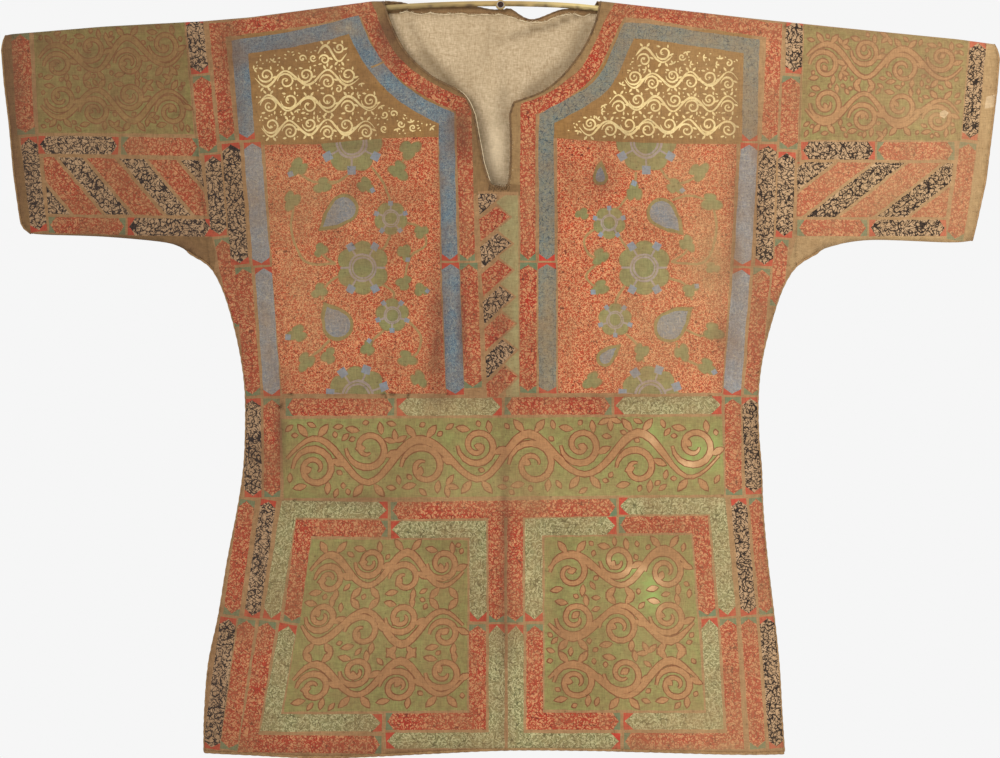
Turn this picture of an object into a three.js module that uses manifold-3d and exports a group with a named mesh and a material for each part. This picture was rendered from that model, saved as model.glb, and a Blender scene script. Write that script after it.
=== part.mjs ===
// Talismanic shirt: a short-sleeved, T-shaped shirt of painted cotton, lined with linen in the body,
// hanging flat on a thin arched rod that a wall peg carries.
// Millimetres. X runs along the sleeves, -Y is the painted front, +Z is up. Left is -X, as seen from the front.
// The origin is on the peg's axis, in the middle plane between the front and the back.
import * as THREE from "three";
import { mergeVertices } from "three/addons/utils/BufferGeometryUtils.js";
import Module from "manifold-3d";

const wasm = await Module();
wasm.setup();

// ---------- Driving dimensions ----------
const CLOTH_THICKNESS = 1.4;
const LINING_THICKNESS = 1.0;
const SEAM_GAP = 0.3; // between neighbouring pieces of cloth
const ARMHOLE_GAP = 0.45; // along X, where the cloth is steep beside the armpit
const LINING_INSET = 8; // the lining stops this far inside the side seams and armholes
const LINING_TOP_DROP = 12.4; // below the crest of the shoulder fold, clear of the rod
const LINING_HEM_RISE = 10; // above the hem

const FOLD_RADIUS = 4.4; // middle surface of the cloth where it folds over the rod
const FOLD_FALL = 55; // distance below the fold over which the cloth reaches its full depth
const EDGE_FALL = 20; // distance from a side seam over which the cloth reaches its full depth
const SLEEVE_DEPTH_SHARE = 0.72; // depth at the cuffs against depth in the body
const SLEEVE_DEPTH_FROM = 200; // |x| where the depth starts to fall
const SLEEVE_DEPTH_TO = 490;

const ROD_RADIUS = 2.8;
const ROD_SIDES = 10;
const ROD_STEPS = 44;
const BOSS_RADIUS = 4.9; // the rod's eye round the peg
const BOSS_LENGTH = 6.8;
const PEG_RADIUS = 3.0;
const PEG_CLEARANCE = 0.3;
const PEG_FRONT = -4.4;
const PEG_BACK = 20;

const BODY_COLUMNS = 21; // between the lining's side edges
const BODY_ROWS = 16; // between the lining's upper edge and its lower edge
const SLEEVE_SECTIONS = 9;
const SLEEVE_ROWS = 8;
const FOLD_ANGLES = [2.4, 30, 60, 90]; // degrees round the shoulder fold, from its crest
const EDGE_CROWDING = 0.5; // 0 spaces columns evenly, 1 crowds them at the seams
const ROW_CROWDING = 1.25; // above 1 the rows lie closer near the shoulder
const UNDERARM_LIFT = 1.2; // of the lowest row of the sleeve's front and back above the underarm fold
const SLEEVE_ROW_CROWDING = 0.8; // below 1 the rows lie closer near the underarm

// ---------- Outlines, as the shirt hangs ----------
// Outer crest of the shoulder and sleeve fold. It runs level where the neck is cut away.
const CREST = [
  { x: -500, z: -31.5 },
  { x: -490, z: -29.2 },
  { x: -396, z: -21.4 },
  { x: -298, z: -16.2 },
  { x: -250, z: -12.2 },
  { x: -128, z: 3.8 },
  { x: 101, z: 3.8 },
  { x: 250, z: -13.2 },
  { x: 346, z: -23.2 },
  { x: 457, z: -34.2 },
  { x: 500, z: -40 },
];
// Side edges of the body below the armpits: x on each side at a height.
const SIDES = [
  { z: -262, left: -290, right: 295 },
  { z: -284, left: -277.5, right: 281.5 },
  { z: -315, left: -267.5, right: 271 },
  { z: -350, left: -259.5, right: 262 },
  { z: -385, left: -255, right: 257.5 },
  { z: -426, left: -254.5, right: 257.5 },
  { z: -465, left: -256.5, right: 260.5 },
  { z: -505, left: -262.5, right: 262 },
  { z: -556, left: -272.5, right: 266.5 },
  { z: -611, left: -281.5, right: 273 },
  { z: -659, left: -291.5, right: 278 },
  { z: -710, left: -295.5, right: 281 },
  { z: -755, left: -296, right: 283.5 },
];
const HEM = [
  { x: -300, z: -746.5 },
  { x: -250, z: -748.7 },
  { x: -184, z: -751.8 },
  { x: -130, z: -750.2 },
  { x: -70, z: -747.2 },
  { x: 4, z: -744 },
  { x: 77, z: -744 },
  { x: 150, z: -745.7 },
  { x: 230, z: -748 },
  { x: 290, z: -748.2 },
];
// Underarm seam of each sleeve, from the armpit to the cuff.
const UNDERARM_LEFT = [
  { x: -476.5, z: -227.2 },
  { x: -452, z: -229.4 },
  { x: -398, z: -231.4 },
  { x: -341, z: -236.4 },
  { x: -321, z: -241.4 },
  { x: -309, z: -249.4 },
  { x: -290, z: -262 },
];
const UNDERARM_RIGHT = [
  { x: 295, z: -262 },
  { x: 316, z: -248.4 },
  { x: 330, z: -241.4 },
  { x: 370, z: -234.8 },
  { x: 449, z: -237.2 },
  { x: 471.5, z: -235.4 },
];
// The armhole seams, by height.
const ARMHOLES = [
  { z: -14, left: -316.5, right: 302.5 },
  { z: -262, left: -290, right: 295 },
];
// The cuff edges, by share of the way down.
const CUFFS = [
  { share: 0, left: -495, right: 494 },
  { share: 0.06, left: -498.3, right: 498.3 },
  { share: 0.24, left: -495.5, right: 495.5 },
  { share: 0.45, left: -490.5, right: 490.5 },
  { share: 0.7, left: -486, right: 484.5 },
  { share: 0.9, left: -480, right: 476 },
  { share: 1, left: -476.5, right: 471.5 },
];
// Full depth of the middle surface in front of and behind the middle plane, by height.
const DEPTHS = [
  { z: 0, depth: 7.5 },
  { z: -120, depth: 9.5 },
  { z: -300, depth: 10.5 },
  { z: -450, depth: 9.5 },
  { z: -750, depth: 12 },
];
// The largest folds: x at the top, how far it leans to its bottom, half width, and how far it stands proud.
const FRONT_FOLDS = [
  { x: 3, lean: 2, top: -300, bottom: -780, width: 20, rise: -2.2 },
  { x: -58, lean: -4, top: -250, bottom: -430, width: 24, rise: -1.4 },
  { x: -160, lean: -18, top: -420, bottom: -790, width: 34, rise: 2.4 },
  { x: 128, lean: 10, top: -470, bottom: -790, width: 36, rise: 2.2 },
  { x: -222, lean: 10, top: -260, bottom: -500, width: 26, rise: -1.6 },
  { x: 232, lean: -14, top: -250, bottom: -470, width: 26, rise: -1.5 },
  { x: 60, lean: 6, top: -560, bottom: -800, width: 26, rise: 1.6 },
  { x: -400, lean: 16, top: -60, bottom: -220, width: 34, rise: 1.2 },
  { x: 392, lean: -12, top: -70, bottom: -230, width: 34, rise: 1.2 },
];
const BACK_FOLDS = [
  { x: -6, lean: 8, top: -60, bottom: -620, width: 30, rise: -1.8 },
  { x: -140, lean: -24, top: -380, bottom: -790, width: 36, rise: 2.2 },
  { x: 118, lean: 26, top: -340, bottom: -790, width: 34, rise: 2.4 },
  { x: 214, lean: -8, top: -250, bottom: -480, width: 28, rise: -1.6 },
  { x: -212, lean: 12, top: -250, bottom: -470, width: 28, rise: -1.4 },
];
// Middle line of the rod. It rests under the fold beyond the shoulders and arches free across the neck.
const ROD_LINE = [
  { x: -468, z: -32.3 },
  { x: -396, z: -26.2 },
  { x: -298, z: -21.0 },
  { x: -250, z: -17.2 },
  { x: -190, z: -10.4 },
  { x: -128, z: -4.2 },
  { x: -71, z: -0.4 },
  { x: 0, z: 1.2 },
  { x: 65, z: -0.6 },
  { x: 101, z: -4.0 },
  { x: 160, z: -9.4 },
  { x: 250, z: -18.2 },
  { x: 346, z: -28.0 },
  { x: 455, z: -38.9 },
];
// Edge of the neck opening in the front, from the left shoulder to the foot of the slit and up to the right.
const NECK_LEFT = [
  { x: -120.5, z: 12 },
  { x: -109.5, z: -20 },
  { x: -95.5, z: -47 },
  { x: -70.5, z: -71 },
  { x: -38.5, z: -89 },
  { x: -26.5, z: -110 },
];
const SLIT = [
  { x: -17.5, z: -158 },
  { x: -10.5, z: -179 },
  { x: 7.5, z: -180.5 },
  { x: 10.5, z: -148 },
  { x: 9.5, z: -110 },
];
const NECK_RIGHT = [
  { x: 13.5, z: -98 },
  { x: 42.5, z: -87 },
  { x: 63.5, z: -70 },
  { x: 82.5, z: -45 },
  { x: 94.5, z: -20 },
  { x: 102.5, z: 12 },
];
// Edge of the neck in the back, nearly level behind the rod with one dip.
const NECK_BACK = [
  { x: -118, z: 12 },
  { x: -99, z: 2 },
  { x: -84, z: -3.2 },
  { x: -40, z: -4 },
  { x: -9, z: -5 },
  { x: 10, z: -4.4 },
  { x: 31, z: -15 },
  { x: 62, z: -5 },
  { x: 90, z: -4.6 },
  { x: 101, z: 12 },
];
const NECK_TOOL_TOP = 30; // the cutting tool's upper edge
const NECK_TOOL_DEPTH = 60;
const LINING_BACK_DROP = 6; // the back lining's neck edge lies this far below the back's own

// ---------- Reading tables and blending ----------
const clamp01 = (value) => Math.min(1, Math.max(0, value));
const mix = (a, b, share) => a + (b - a) * share;
const smooth = (share) => share * share * (3 - 2 * share);

// The value of one column where another column has a given value, by straight lines between rows.
function read(table, byColumn, column, at) {
  const rising = table[table.length - 1][byColumn] > table[0][byColumn];
  const rows = rising ? table : [...table].reverse();
  let upper = rows.findIndex((row) => row[byColumn] >= at);
  if (upper === -1) upper = rows.length - 1;
  upper = Math.max(1, upper);
  const low = rows[upper - 1];
  const high = rows[upper];
  const share = clamp01((at - low[byColumn]) / (high[byColumn] - low[byColumn]));
  return mix(low[column], high[column], share);
}

const crestMiddle = (x) => read(CREST, "x", "z", x) - CLOTH_THICKNESS / 2;
const hem = (x) => read(HEM, "x", "z", x);

// ---------- The form of the hanging cloth ----------
// Edges where the front and the back come together: underarm, armpit and side seam on each side.
const PINCHED_EDGES = [
  [...UNDERARM_LEFT, ...SIDES.slice(1).map((row) => ({ x: row.left, z: row.z }))],
  [...[...UNDERARM_RIGHT].reverse(), ...SIDES.slice(1).map((row) => ({ x: row.right, z: row.z }))],
];

function distanceToSegment(x, z, a, b) {
  const dx = b.x - a.x;
  const dz = b.z - a.z;
  const share = clamp01(((x - a.x) * dx + (z - a.z) * dz) / (dx * dx + dz * dz));
  return Math.hypot(x - a.x - share * dx, z - a.z - share * dz);
}

function distanceToSeams(x, z) {
  let nearest = Infinity;
  for (const edge of PINCHED_EDGES)
    for (let i = 1; i < edge.length; i++)
      nearest = Math.min(nearest, distanceToSegment(x, z, edge[i - 1], edge[i]));
  return nearest;
}

function foldRise(folds, x, z) {
  let rise = 0;
  for (const fold of folds) {
    const share = (fold.top - z) / (fold.top - fold.bottom);
    if (share <= 0 || share >= 1) continue;
    const across = (x - fold.x - fold.lean * share) / fold.width;
    rise += fold.rise * Math.exp(-across * across) * Math.sin(Math.PI * share);
  }
  return rise;
}

const SEAM_HALF_DEPTH = CLOTH_THICKNESS / 2 + SEAM_GAP / 2;

// Distance of the cloth's middle surface from the middle plane, below the shoulder fold.
function halfDepth(x, z, folds) {
  const below = Math.max(0, crestMiddle(x) - FOLD_RADIUS - z);
  const outward = clamp01((Math.abs(x) - SLEEVE_DEPTH_FROM) / (SLEEVE_DEPTH_TO - SLEEVE_DEPTH_FROM));
  const share = mix(1, SLEEVE_DEPTH_SHARE, smooth(outward));
  const full = read(DEPTHS, "z", "depth", z) * share + foldRise(folds, x, z);
  const hung = mix(FOLD_RADIUS, full, 1 - Math.exp(-below / FOLD_FALL));
  return mix(SEAM_HALF_DEPTH, hung, 1 - Math.exp(-distanceToSeams(x, z) / EDGE_FALL));
}

// A point of the cloth's middle surface on one side (-1 front, 1 back). The first rows turn round the fold.
function foldPoint(x, degrees, side) {
  const angle = THREE.MathUtils.degToRad(degrees);
  const z = crestMiddle(x) - FOLD_RADIUS * (1 - Math.cos(angle));
  return new THREE.Vector3(x, side * FOLD_RADIUS * Math.sin(angle), z);
}

// ---------- Walls of cloth ----------
// A closed wall on a grid of middle points, between two distances outwards from the middle surface.
function wallGeometry(grid, columns, rows, outer, inner) {
  const reach = 1e-3;
  const { point, side } = grid;
  const positions = [];
  for (const distance of [outer, inner])
    for (const v of rows)
      for (const u of columns) {
        const alongU = point(u + reach, v).sub(point(u - reach, v));
        const alongV = point(u, v + reach).sub(point(u, v - reach));
        const outward = alongU.cross(alongV).normalize();
        if (outward.y * side < 0) outward.negate();
        const made = point(u, v).addScaledVector(outward, distance);
        positions.push(made.x, made.y, made.z);
      }
  const across = columns.length;
  const down = rows.length;
  const vertex = (layer, i, j) => layer * across * down + j * across + i;
  const triangles = [];
  const quad = (a, b, c, d) => triangles.push(a, b, c, a, c, d);
  for (let j = 0; j < down - 1; j++)
    for (let i = 0; i < across - 1; i++) {
      quad(vertex(0, i, j), vertex(0, i + 1, j), vertex(0, i + 1, j + 1), vertex(0, i, j + 1));
      quad(vertex(1, i, j), vertex(1, i, j + 1), vertex(1, i + 1, j + 1), vertex(1, i + 1, j));
    }
  for (let i = 0; i < across - 1; i++) {
    quad(vertex(0, i, 0), vertex(1, i, 0), vertex(1, i + 1, 0), vertex(0, i + 1, 0));
    const j = down - 1;
    quad(vertex(0, i, j), vertex(0, i + 1, j), vertex(1, i + 1, j), vertex(1, i, j));
  }
  for (let j = 0; j < down - 1; j++) {
    quad(vertex(0, 0, j), vertex(0, 0, j + 1), vertex(1, 0, j + 1), vertex(1, 0, j));
    const i = across - 1;
    quad(vertex(0, i, j), vertex(1, i, j), vertex(1, i, j + 1), vertex(0, i, j + 1));
  }
  return facingOut(indexed(positions, triangles));
}

// A closed wall on rings of middle points, open at the first and the last ring.
function ringWallGeometry(rings, thickness) {
  const count = rings[0].length;
  const positions = [];
  for (const layer of [1, -1])
    rings.forEach((ring, i) => {
      const before = rings[Math.max(0, i - 1)];
      const after = rings[Math.min(rings.length - 1, i + 1)];
      ring.forEach((middle, k) => {
        const alongRing = ring[(k + 1) % count].clone().sub(ring[(k + count - 1) % count]);
        const normal = after[k].clone().sub(before[k]).cross(alongRing).normalize();
        const made = middle.clone().addScaledVector(normal, (layer * thickness) / 2);
        positions.push(made.x, made.y, made.z);
      });
    });
  const vertex = (layer, i, k) => (layer * rings.length + i) * count + (k % count);
  const triangles = [];
  const quad = (a, b, c, d) => triangles.push(a, b, c, a, c, d);
  const last = rings.length - 1;
  for (let k = 0; k < count; k++) {
    for (let i = 0; i < last; i++) {
      quad(vertex(0, i, k), vertex(0, i + 1, k), vertex(0, i + 1, k + 1), vertex(0, i, k + 1));
      quad(vertex(1, i, k), vertex(1, i, k + 1), vertex(1, i + 1, k + 1), vertex(1, i + 1, k));
    }
    quad(vertex(0, 0, k), vertex(0, 0, k + 1), vertex(1, 0, k + 1), vertex(1, 0, k));
    quad(vertex(0, last, k), vertex(1, last, k), vertex(1, last, k + 1), vertex(0, last, k + 1));
  }
  return facingOut(indexed(positions, triangles));
}

function indexed(positions, triangles) {
  const geometry = new THREE.BufferGeometry();
  geometry.setAttribute("position", new THREE.Float32BufferAttribute(positions, 3));
  geometry.setIndex(triangles);
  return geometry;
}

// Turns every triangle round where the closed surface faces inwards.
function facingOut(geometry) {
  const at = geometry.getAttribute("position");
  const index = geometry.getIndex().array;
  const [a, b, c] = [new THREE.Vector3(), new THREE.Vector3(), new THREE.Vector3()];
  let volume = 0;
  for (let i = 0; i < index.length; i += 3) {
    a.fromBufferAttribute(at, index[i]);
    b.fromBufferAttribute(at, index[i + 1]);
    c.fromBufferAttribute(at, index[i + 2]);
    volume += a.dot(b.cross(c));
  }
  if (volume < 0) geometry.setIndex([...index].reverse());
  return geometry;
}

// ---------- Joining and cutting ----------
function solidOf(geometry) {
  const bare = geometry.clone();
  bare.deleteAttribute("normal");
  bare.deleteAttribute("uv");
  const merged = mergeVertices(bare, 1e-4);
  return new wasm.Manifold(
    new wasm.Mesh({
      numProp: 3,
      vertProperties: merged.getAttribute("position").array,
      triVerts: new Uint32Array(merged.getIndex().array),
    }),
  );
}

function geometryOf(solid) {
  const mesh = solid.getMesh();
  const geometry = new THREE.BufferGeometry();
  geometry.setAttribute("position", new THREE.BufferAttribute(mesh.vertProperties, 3));
  geometry.setIndex(new THREE.BufferAttribute(mesh.triVerts, 1));
  return geometry;
}

// A prism through the cloth from front to back of the middle plane, on an outline in x and z.
function prismThroughCloth(shape, fromY, depth) {
  const geometry = new THREE.ExtrudeGeometry(shape, { depth, bevelEnabled: false, curveSegments: 5 });
  geometry.rotateX(Math.PI / 2);
  geometry.translate(0, fromY + depth, 0);
  return geometry;
}

const asPoints = (table) => table.map((row) => new THREE.Vector2(row.x, row.z));

function frontNeckTool() {
  const shape = new THREE.Shape();
  shape.moveTo(NECK_LEFT[0].x, NECK_TOOL_TOP);
  shape.lineTo(NECK_LEFT[0].x, NECK_LEFT[0].z);
  shape.splineThru(asPoints(NECK_LEFT.slice(1)));
  for (const corner of SLIT) shape.lineTo(corner.x, corner.z);
  shape.lineTo(NECK_RIGHT[0].x, NECK_RIGHT[0].z);
  shape.splineThru(asPoints(NECK_RIGHT.slice(1)));
  shape.lineTo(NECK_RIGHT[NECK_RIGHT.length - 1].x, NECK_TOOL_TOP);
  return solidOf(prismThroughCloth(shape, -NECK_TOOL_DEPTH, NECK_TOOL_DEPTH));
}

function backNeckTool(lower) {
  const shape = new THREE.Shape();
  const last = NECK_BACK[NECK_BACK.length - 1];
  shape.moveTo(NECK_BACK[0].x, NECK_TOOL_TOP);
  for (const corner of NECK_BACK) shape.lineTo(corner.x, corner.z - lower);
  shape.lineTo(last.x, NECK_TOOL_TOP);
  return solidOf(prismThroughCloth(shape, 0, NECK_TOOL_DEPTH));
}

// ---------- Pieces of the body ----------
const columnShare = (share) => mix(share, (1 - Math.cos(Math.PI * share)) / 2, EDGE_CROWDING);
const evenShares = (count) => Array.from({ length: count + 1 }, (_, i) => i / count);

// Body edges at a height: the armholes above the armpits and the side seams below them.
function bodyEdge(hand, z) {
  return read(z < SIDES[0].z ? SIDES : ARMHOLES, "z", hand, z);
}

// The middle surface of one side of the body. Rows below 1 turn round the shoulder fold, and rows from
// 1 to 2 run from the fold to the hem.
function bodyGrid(side, folds) {
  const point = (u, v) => {
    let x = mix(ARMHOLES[0].left, ARMHOLES[0].right, u);
    let z = 0;
    for (let pass = 0; pass < 3; pass++) {
      const start = crestMiddle(x) - FOLD_RADIUS;
      z = v < 1 ? start : mix(start, hem(x), v - 1);
      x = mix(bodyEdge("left", z) + ARMHOLE_GAP / 2, bodyEdge("right", z) - ARMHOLE_GAP / 2, u);
    }
    if (v < 1) return foldPoint(x, mix(FOLD_ANGLES[0], 90, v), side);
    return new THREE.Vector3(x, side * halfDepth(x, z, folds), z);
  };
  return { point, side };
}

const bodyHeight = CREST[5].z - HEM[5].z;
const bodyWidth = SIDES[4].right - SIDES[4].left;
const insetShare = LINING_INSET / bodyWidth;
const foldRows = FOLD_ANGLES.map((angle) => (angle - FOLD_ANGLES[0]) / (90 - FOLD_ANGLES[0]));
const liningColumns = evenShares(BODY_COLUMNS).map((share) =>
  mix(insetShare, 1 - insetShare, columnShare(share)),
);
const liningRows = evenShares(BODY_ROWS).map((share) =>
  mix(1 + (LINING_TOP_DROP - FOLD_RADIUS) / bodyHeight, 2 - LINING_HEM_RISE / bodyHeight, share ** ROW_CROWDING),
);

function bodyPanel(side, folds, neckTool) {
  const rows = [...foldRows, ...liningRows, 2];
  const columns = [0, ...liningColumns, 1];
  const half = CLOTH_THICKNESS / 2;
  return geometryOf(solidOf(wallGeometry(bodyGrid(side, folds), columns, rows, half, -half)).subtract(neckTool));
}

// The lining is made from the panel's own points, moved in. It stops short of the fold, the seams and the hem.
function liningPanel(side, folds, neckTool) {
  const outer = -CLOTH_THICKNESS / 2 - SEAM_GAP;
  const grid = bodyGrid(side, folds);
  const wall = wallGeometry(grid, liningColumns, liningRows, outer, outer - LINING_THICKNESS);
  return geometryOf(solidOf(wall).subtract(neckTool));
}

// ---------- Sleeves ----------
// One ring of middle points round a sleeve, from the crest down the front and up the back.
function sleeveRing(hand, along) {
  const under = hand === "left" ? UNDERARM_LEFT : UNDERARM_RIGHT;
  const outward = hand === "left" ? -1 : 1;
  // x and z of the middle surface at a share of the way down, from the end of the fold to the underarm.
  const place = (down, lift) => {
    let x = ARMHOLES[0][hand];
    let z = 0;
    for (let pass = 0; pass < 4; pass++) {
      z = mix(crestMiddle(x) - FOLD_RADIUS, read(under, "x", "z", x) + lift, down);
      const armhole = read(ARMHOLES, "z", hand, z) + (outward * ARMHOLE_GAP) / 2;
      x = mix(armhole, read(CUFFS, "share", hand, down), along);
    }
    return { x, z };
  };
  const half = (side, folds) => {
    const points = FOLD_ANGLES.slice(1).map((angle) => foldPoint(place(0, 0).x, angle, side));
    for (const share of evenShares(SLEEVE_ROWS).slice(1)) {
      const { x, z } = place(share ** SLEEVE_ROW_CROWDING, UNDERARM_LIFT);
      points.push(new THREE.Vector3(x, side * halfDepth(x, z, folds), z));
    }
    return points;
  };
  const crest = foldPoint(place(0, 0).x, 0, 1);
  const under0 = place(1, 0);
  const bottom = new THREE.Vector3(under0.x, 0, under0.z);
  return [crest, ...half(-1, FRONT_FOLDS), bottom, ...half(1, BACK_FOLDS).reverse()];
}

function sleeve(hand) {
  const rings = evenShares(SLEEVE_SECTIONS).map((share) => sleeveRing(hand, share));
  return ringWallGeometry(rings, CLOTH_THICKNESS);
}

// ---------- Rod and peg ----------
function cylinderAlongY(radius, fromY, toY, sides) {
  const geometry = new THREE.CylinderGeometry(radius, radius, toY - fromY, sides);
  geometry.translate(0, (fromY + toY) / 2, 0);
  return geometry;
}

function hangingRod() {
  const line = new THREE.CatmullRomCurve3(ROD_LINE.map((row) => new THREE.Vector3(row.x, 0, row.z)));
  const section = new THREE.Shape();
  for (let i = 0; i < ROD_SIDES; i++) {
    const angle = (2 * Math.PI * i) / ROD_SIDES;
    const corner = [ROD_RADIUS * Math.cos(angle), ROD_RADIUS * Math.sin(angle)];
    if (i === 0) section.moveTo(...corner);
    else section.lineTo(...corner);
  }
  const bar = new THREE.ExtrudeGeometry(section, { steps: ROD_STEPS, extrudePath: line });
  const boss = cylinderAlongY(BOSS_RADIUS, -BOSS_LENGTH / 2, BOSS_LENGTH / 2, 24);
  const eye = cylinderAlongY(PEG_RADIUS + PEG_CLEARANCE, -BOSS_LENGTH, BOSS_LENGTH, 24);
  return geometryOf(solidOf(bar).add(solidOf(boss)).subtract(solidOf(eye)));
}

// ---------- Materials and the scene graph ----------
const paintedCotton = { color: 0xa9683f, roughness: 0.92, metalness: 0 };
const linen = { color: 0xc4ab88, roughness: 0.95, metalness: 0 };
const wood = { color: 0xcfae70, roughness: 0.6, metalness: 0 };
const iron = { color: 0x2a211c, roughness: 0.6, metalness: 0.8 };

function piece(name, geometry, finish) {
  const mesh = new THREE.Mesh(geometry, new THREE.MeshStandardMaterial(finish));
  mesh.name = name;
  return mesh;
}

const shirt = new THREE.Group();
shirt.add(piece("front", bodyPanel(-1, FRONT_FOLDS, frontNeckTool()), paintedCotton));
shirt.add(piece("back", bodyPanel(1, BACK_FOLDS, backNeckTool(0)), paintedCotton));
shirt.add(piece("lining_front", liningPanel(-1, FRONT_FOLDS, frontNeckTool()), linen));
shirt.add(piece("lining_back", liningPanel(1, BACK_FOLDS, backNeckTool(LINING_BACK_DROP)), linen));
shirt.add(piece("sleeve_left", sleeve("left"), paintedCotton));
shirt.add(piece("sleeve_right", sleeve("right"), paintedCotton));

const hanger = new THREE.Group();
hanger.add(piece("hanging_rod", hangingRod(), wood));
hanger.add(piece("wall_peg", cylinderAlongY(PEG_RADIUS, PEG_FRONT, PEG_BACK, 24), iron));

const part = new THREE.Group();
part.add(shirt, hanger);

export default part;
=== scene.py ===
"""Talismanic shirt on its hanging rod: the visible pieces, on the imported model's frame.

Sizes are in millimetres here and in metres in the meshes. x, y and z are the frame's: the painted front
faces -y. u and v lay out the painted sheet: u to the right of the left cuff, v down from the rod's top.
"""

import math
import random

import bpy
import numpy as np
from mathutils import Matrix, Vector, noise
from mathutils.geometry import delaunay_2d_cdt


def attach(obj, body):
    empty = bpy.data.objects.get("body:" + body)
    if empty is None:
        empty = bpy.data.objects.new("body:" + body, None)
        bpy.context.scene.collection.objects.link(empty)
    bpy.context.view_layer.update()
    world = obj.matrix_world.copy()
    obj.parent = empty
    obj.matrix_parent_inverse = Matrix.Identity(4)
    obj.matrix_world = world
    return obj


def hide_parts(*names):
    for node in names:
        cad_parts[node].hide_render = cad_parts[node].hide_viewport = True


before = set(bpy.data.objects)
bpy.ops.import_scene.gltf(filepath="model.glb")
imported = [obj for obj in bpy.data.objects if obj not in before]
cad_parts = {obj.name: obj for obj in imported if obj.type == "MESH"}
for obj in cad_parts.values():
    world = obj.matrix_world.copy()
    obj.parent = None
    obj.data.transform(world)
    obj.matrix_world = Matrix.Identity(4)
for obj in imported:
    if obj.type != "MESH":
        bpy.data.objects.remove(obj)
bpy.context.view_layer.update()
rng = random.Random(7)
MM = 0.001

# ---------- Sizes ----------
SHEET_LEFT = 500.5  # u of the middle plane x = 0
SHEET_TOP = 4.8  # z of v = 0
COTTON = 1.0  # thickness of the painted cotton
CAD_COTTON = 1.4  # its thickness in the frame, whose middle surface it keeps
LINEN = 0.6  # thickness of the lining
LINING_GAP = 1.75  # between the middle surfaces of the cotton and the lining
FOLD_RADIUS = 4.4  # of the fold along the shoulders and the tops of the sleeves
FOLD_FALL = 55  # the cloth widens from that fold to its full depth over about this length
EDGE_FALL = 20  # and from a side seam over this
SEAM_HALF = 0.56  # distance of each side from the middle plane at a seam
SEAM_REACH = 6  # a seam also flattens the fold this far away
SLEEVE_SHARE = 0.72  # depth at the cuffs as a share of the body's
SLEEVE_FROM = 200  # the sleeves flatten from this x
SLEEVE_RUN = 290  # over this length
CALM_TOP = 12  # creases fade out over this length below the crest
CALM_SEAM = 8  # and over this beside a seam
GRID = 5.6  # spacing of the cloth's own points
ROW_SHARE = 0.87  # height of a row of them as a share of their spacing
CLEAR = 3.9  # cells of this size that hold a painted edge get no point of the cloth's own
FOLD_STEPS = (0.15, 0.59, 1.29, 2.2, 3.26, 4.4)  # rows below the crest, round the shoulder fold
CUFF_POINTS = 42

# ---------- Outlines of the hanging cloth (x, z) ----------
CREST = (
    (-500, -31.5), (-490, -29.2), (-396, -21.4), (-298, -16.2), (-250, -12.2), (-128, 3.8), (101, 3.8),
    (250, -13.2), (346, -23.2), (457, -34.2), (500, -40),
)
# The body's sides below the armpits: z, left x, right x.
SIDES = (
    (-262, -290, 295), (-284, -277.5, 281.5), (-315, -267.5, 271), (-350, -259.5, 262), (-385, -255, 257.5),
    (-426, -254.5, 257.5), (-465, -256.5, 260.5), (-505, -262.5, 262), (-556, -272.5, 266.5),
    (-611, -281.5, 273), (-659, -291.5, 278), (-710, -295.5, 281), (-747, -296, 283.5),
)
ARMPIT = SIDES[0][0]
HEM = (
    (-296, -747), (-250, -748.7), (-184, -751.8), (-130, -750.2), (-70, -747.2), (4, -744), (77, -744),
    (150, -745.7), (230, -748), (283.5, -748.2),
)
UNDERARM_LEFT = (
    (-470, -228.4), (-452, -229.6), (-398, -231.4), (-341, -236.4), (-321, -241.4), (-309, -249.4),
    (-290, -262),
)
UNDERARM_RIGHT = (
    (471.5, -235.4), (449, -237.2), (370, -234.8), (330, -241.4), (316, -248.4), (295, -262),
)
ARMHOLE_LEFT = ((-316.5, -14), (-290, -262))
ARMHOLE_RIGHT = ((302.5, -14), (295, -262))
# The cuffs: share of the way down, left x, right x.
CUFFS = (
    (0, -495, 494), (0.06, -498.3, 498.3), (0.24, -495.5, 495.5), (0.45, -490.5, 490.5), (0.7, -486, 484.5),
    (0.9, -480.6, 476), (0.95, -479, 473.8), (0.98, -475.6, 472.4), (1, -470, 471.5),
)
NECK_LEFT = (
    (-117.4, 3.1), (-109.5, -20), (-95.5, -47), (-70.5, -71), (-38.5, -89), (-26.5, -110),
)
SLIT = (
    (-17.5, -158), (-10.5, -179), (-4, -182), (7.5, -180.5), (10.5, -148), (9.5, -110),
)
NECK_RIGHT = (
    (13.5, -98), (42.5, -87), (63.5, -70), (82.5, -45), (94.5, -20), (100.3, 3.1),
)
NECK_BACK = (
    (-114, 3.1), (-99, 2), (-84, -1.2), (-62, -1.2), (-38, -1.4), (-24, -2.2), (-13, -4.4), (-6, -5.2),
    (4, -5), (10, -4.4), (31, -15), (62, -5), (90, -4.6), (97, 3.1),
)
# Distance of each side from the middle plane, by z.
DEPTHS = ((0, 7.5), (-120, 9.5), (-300, 10.5), (-450, 9.5), (-750, 12))

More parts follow.
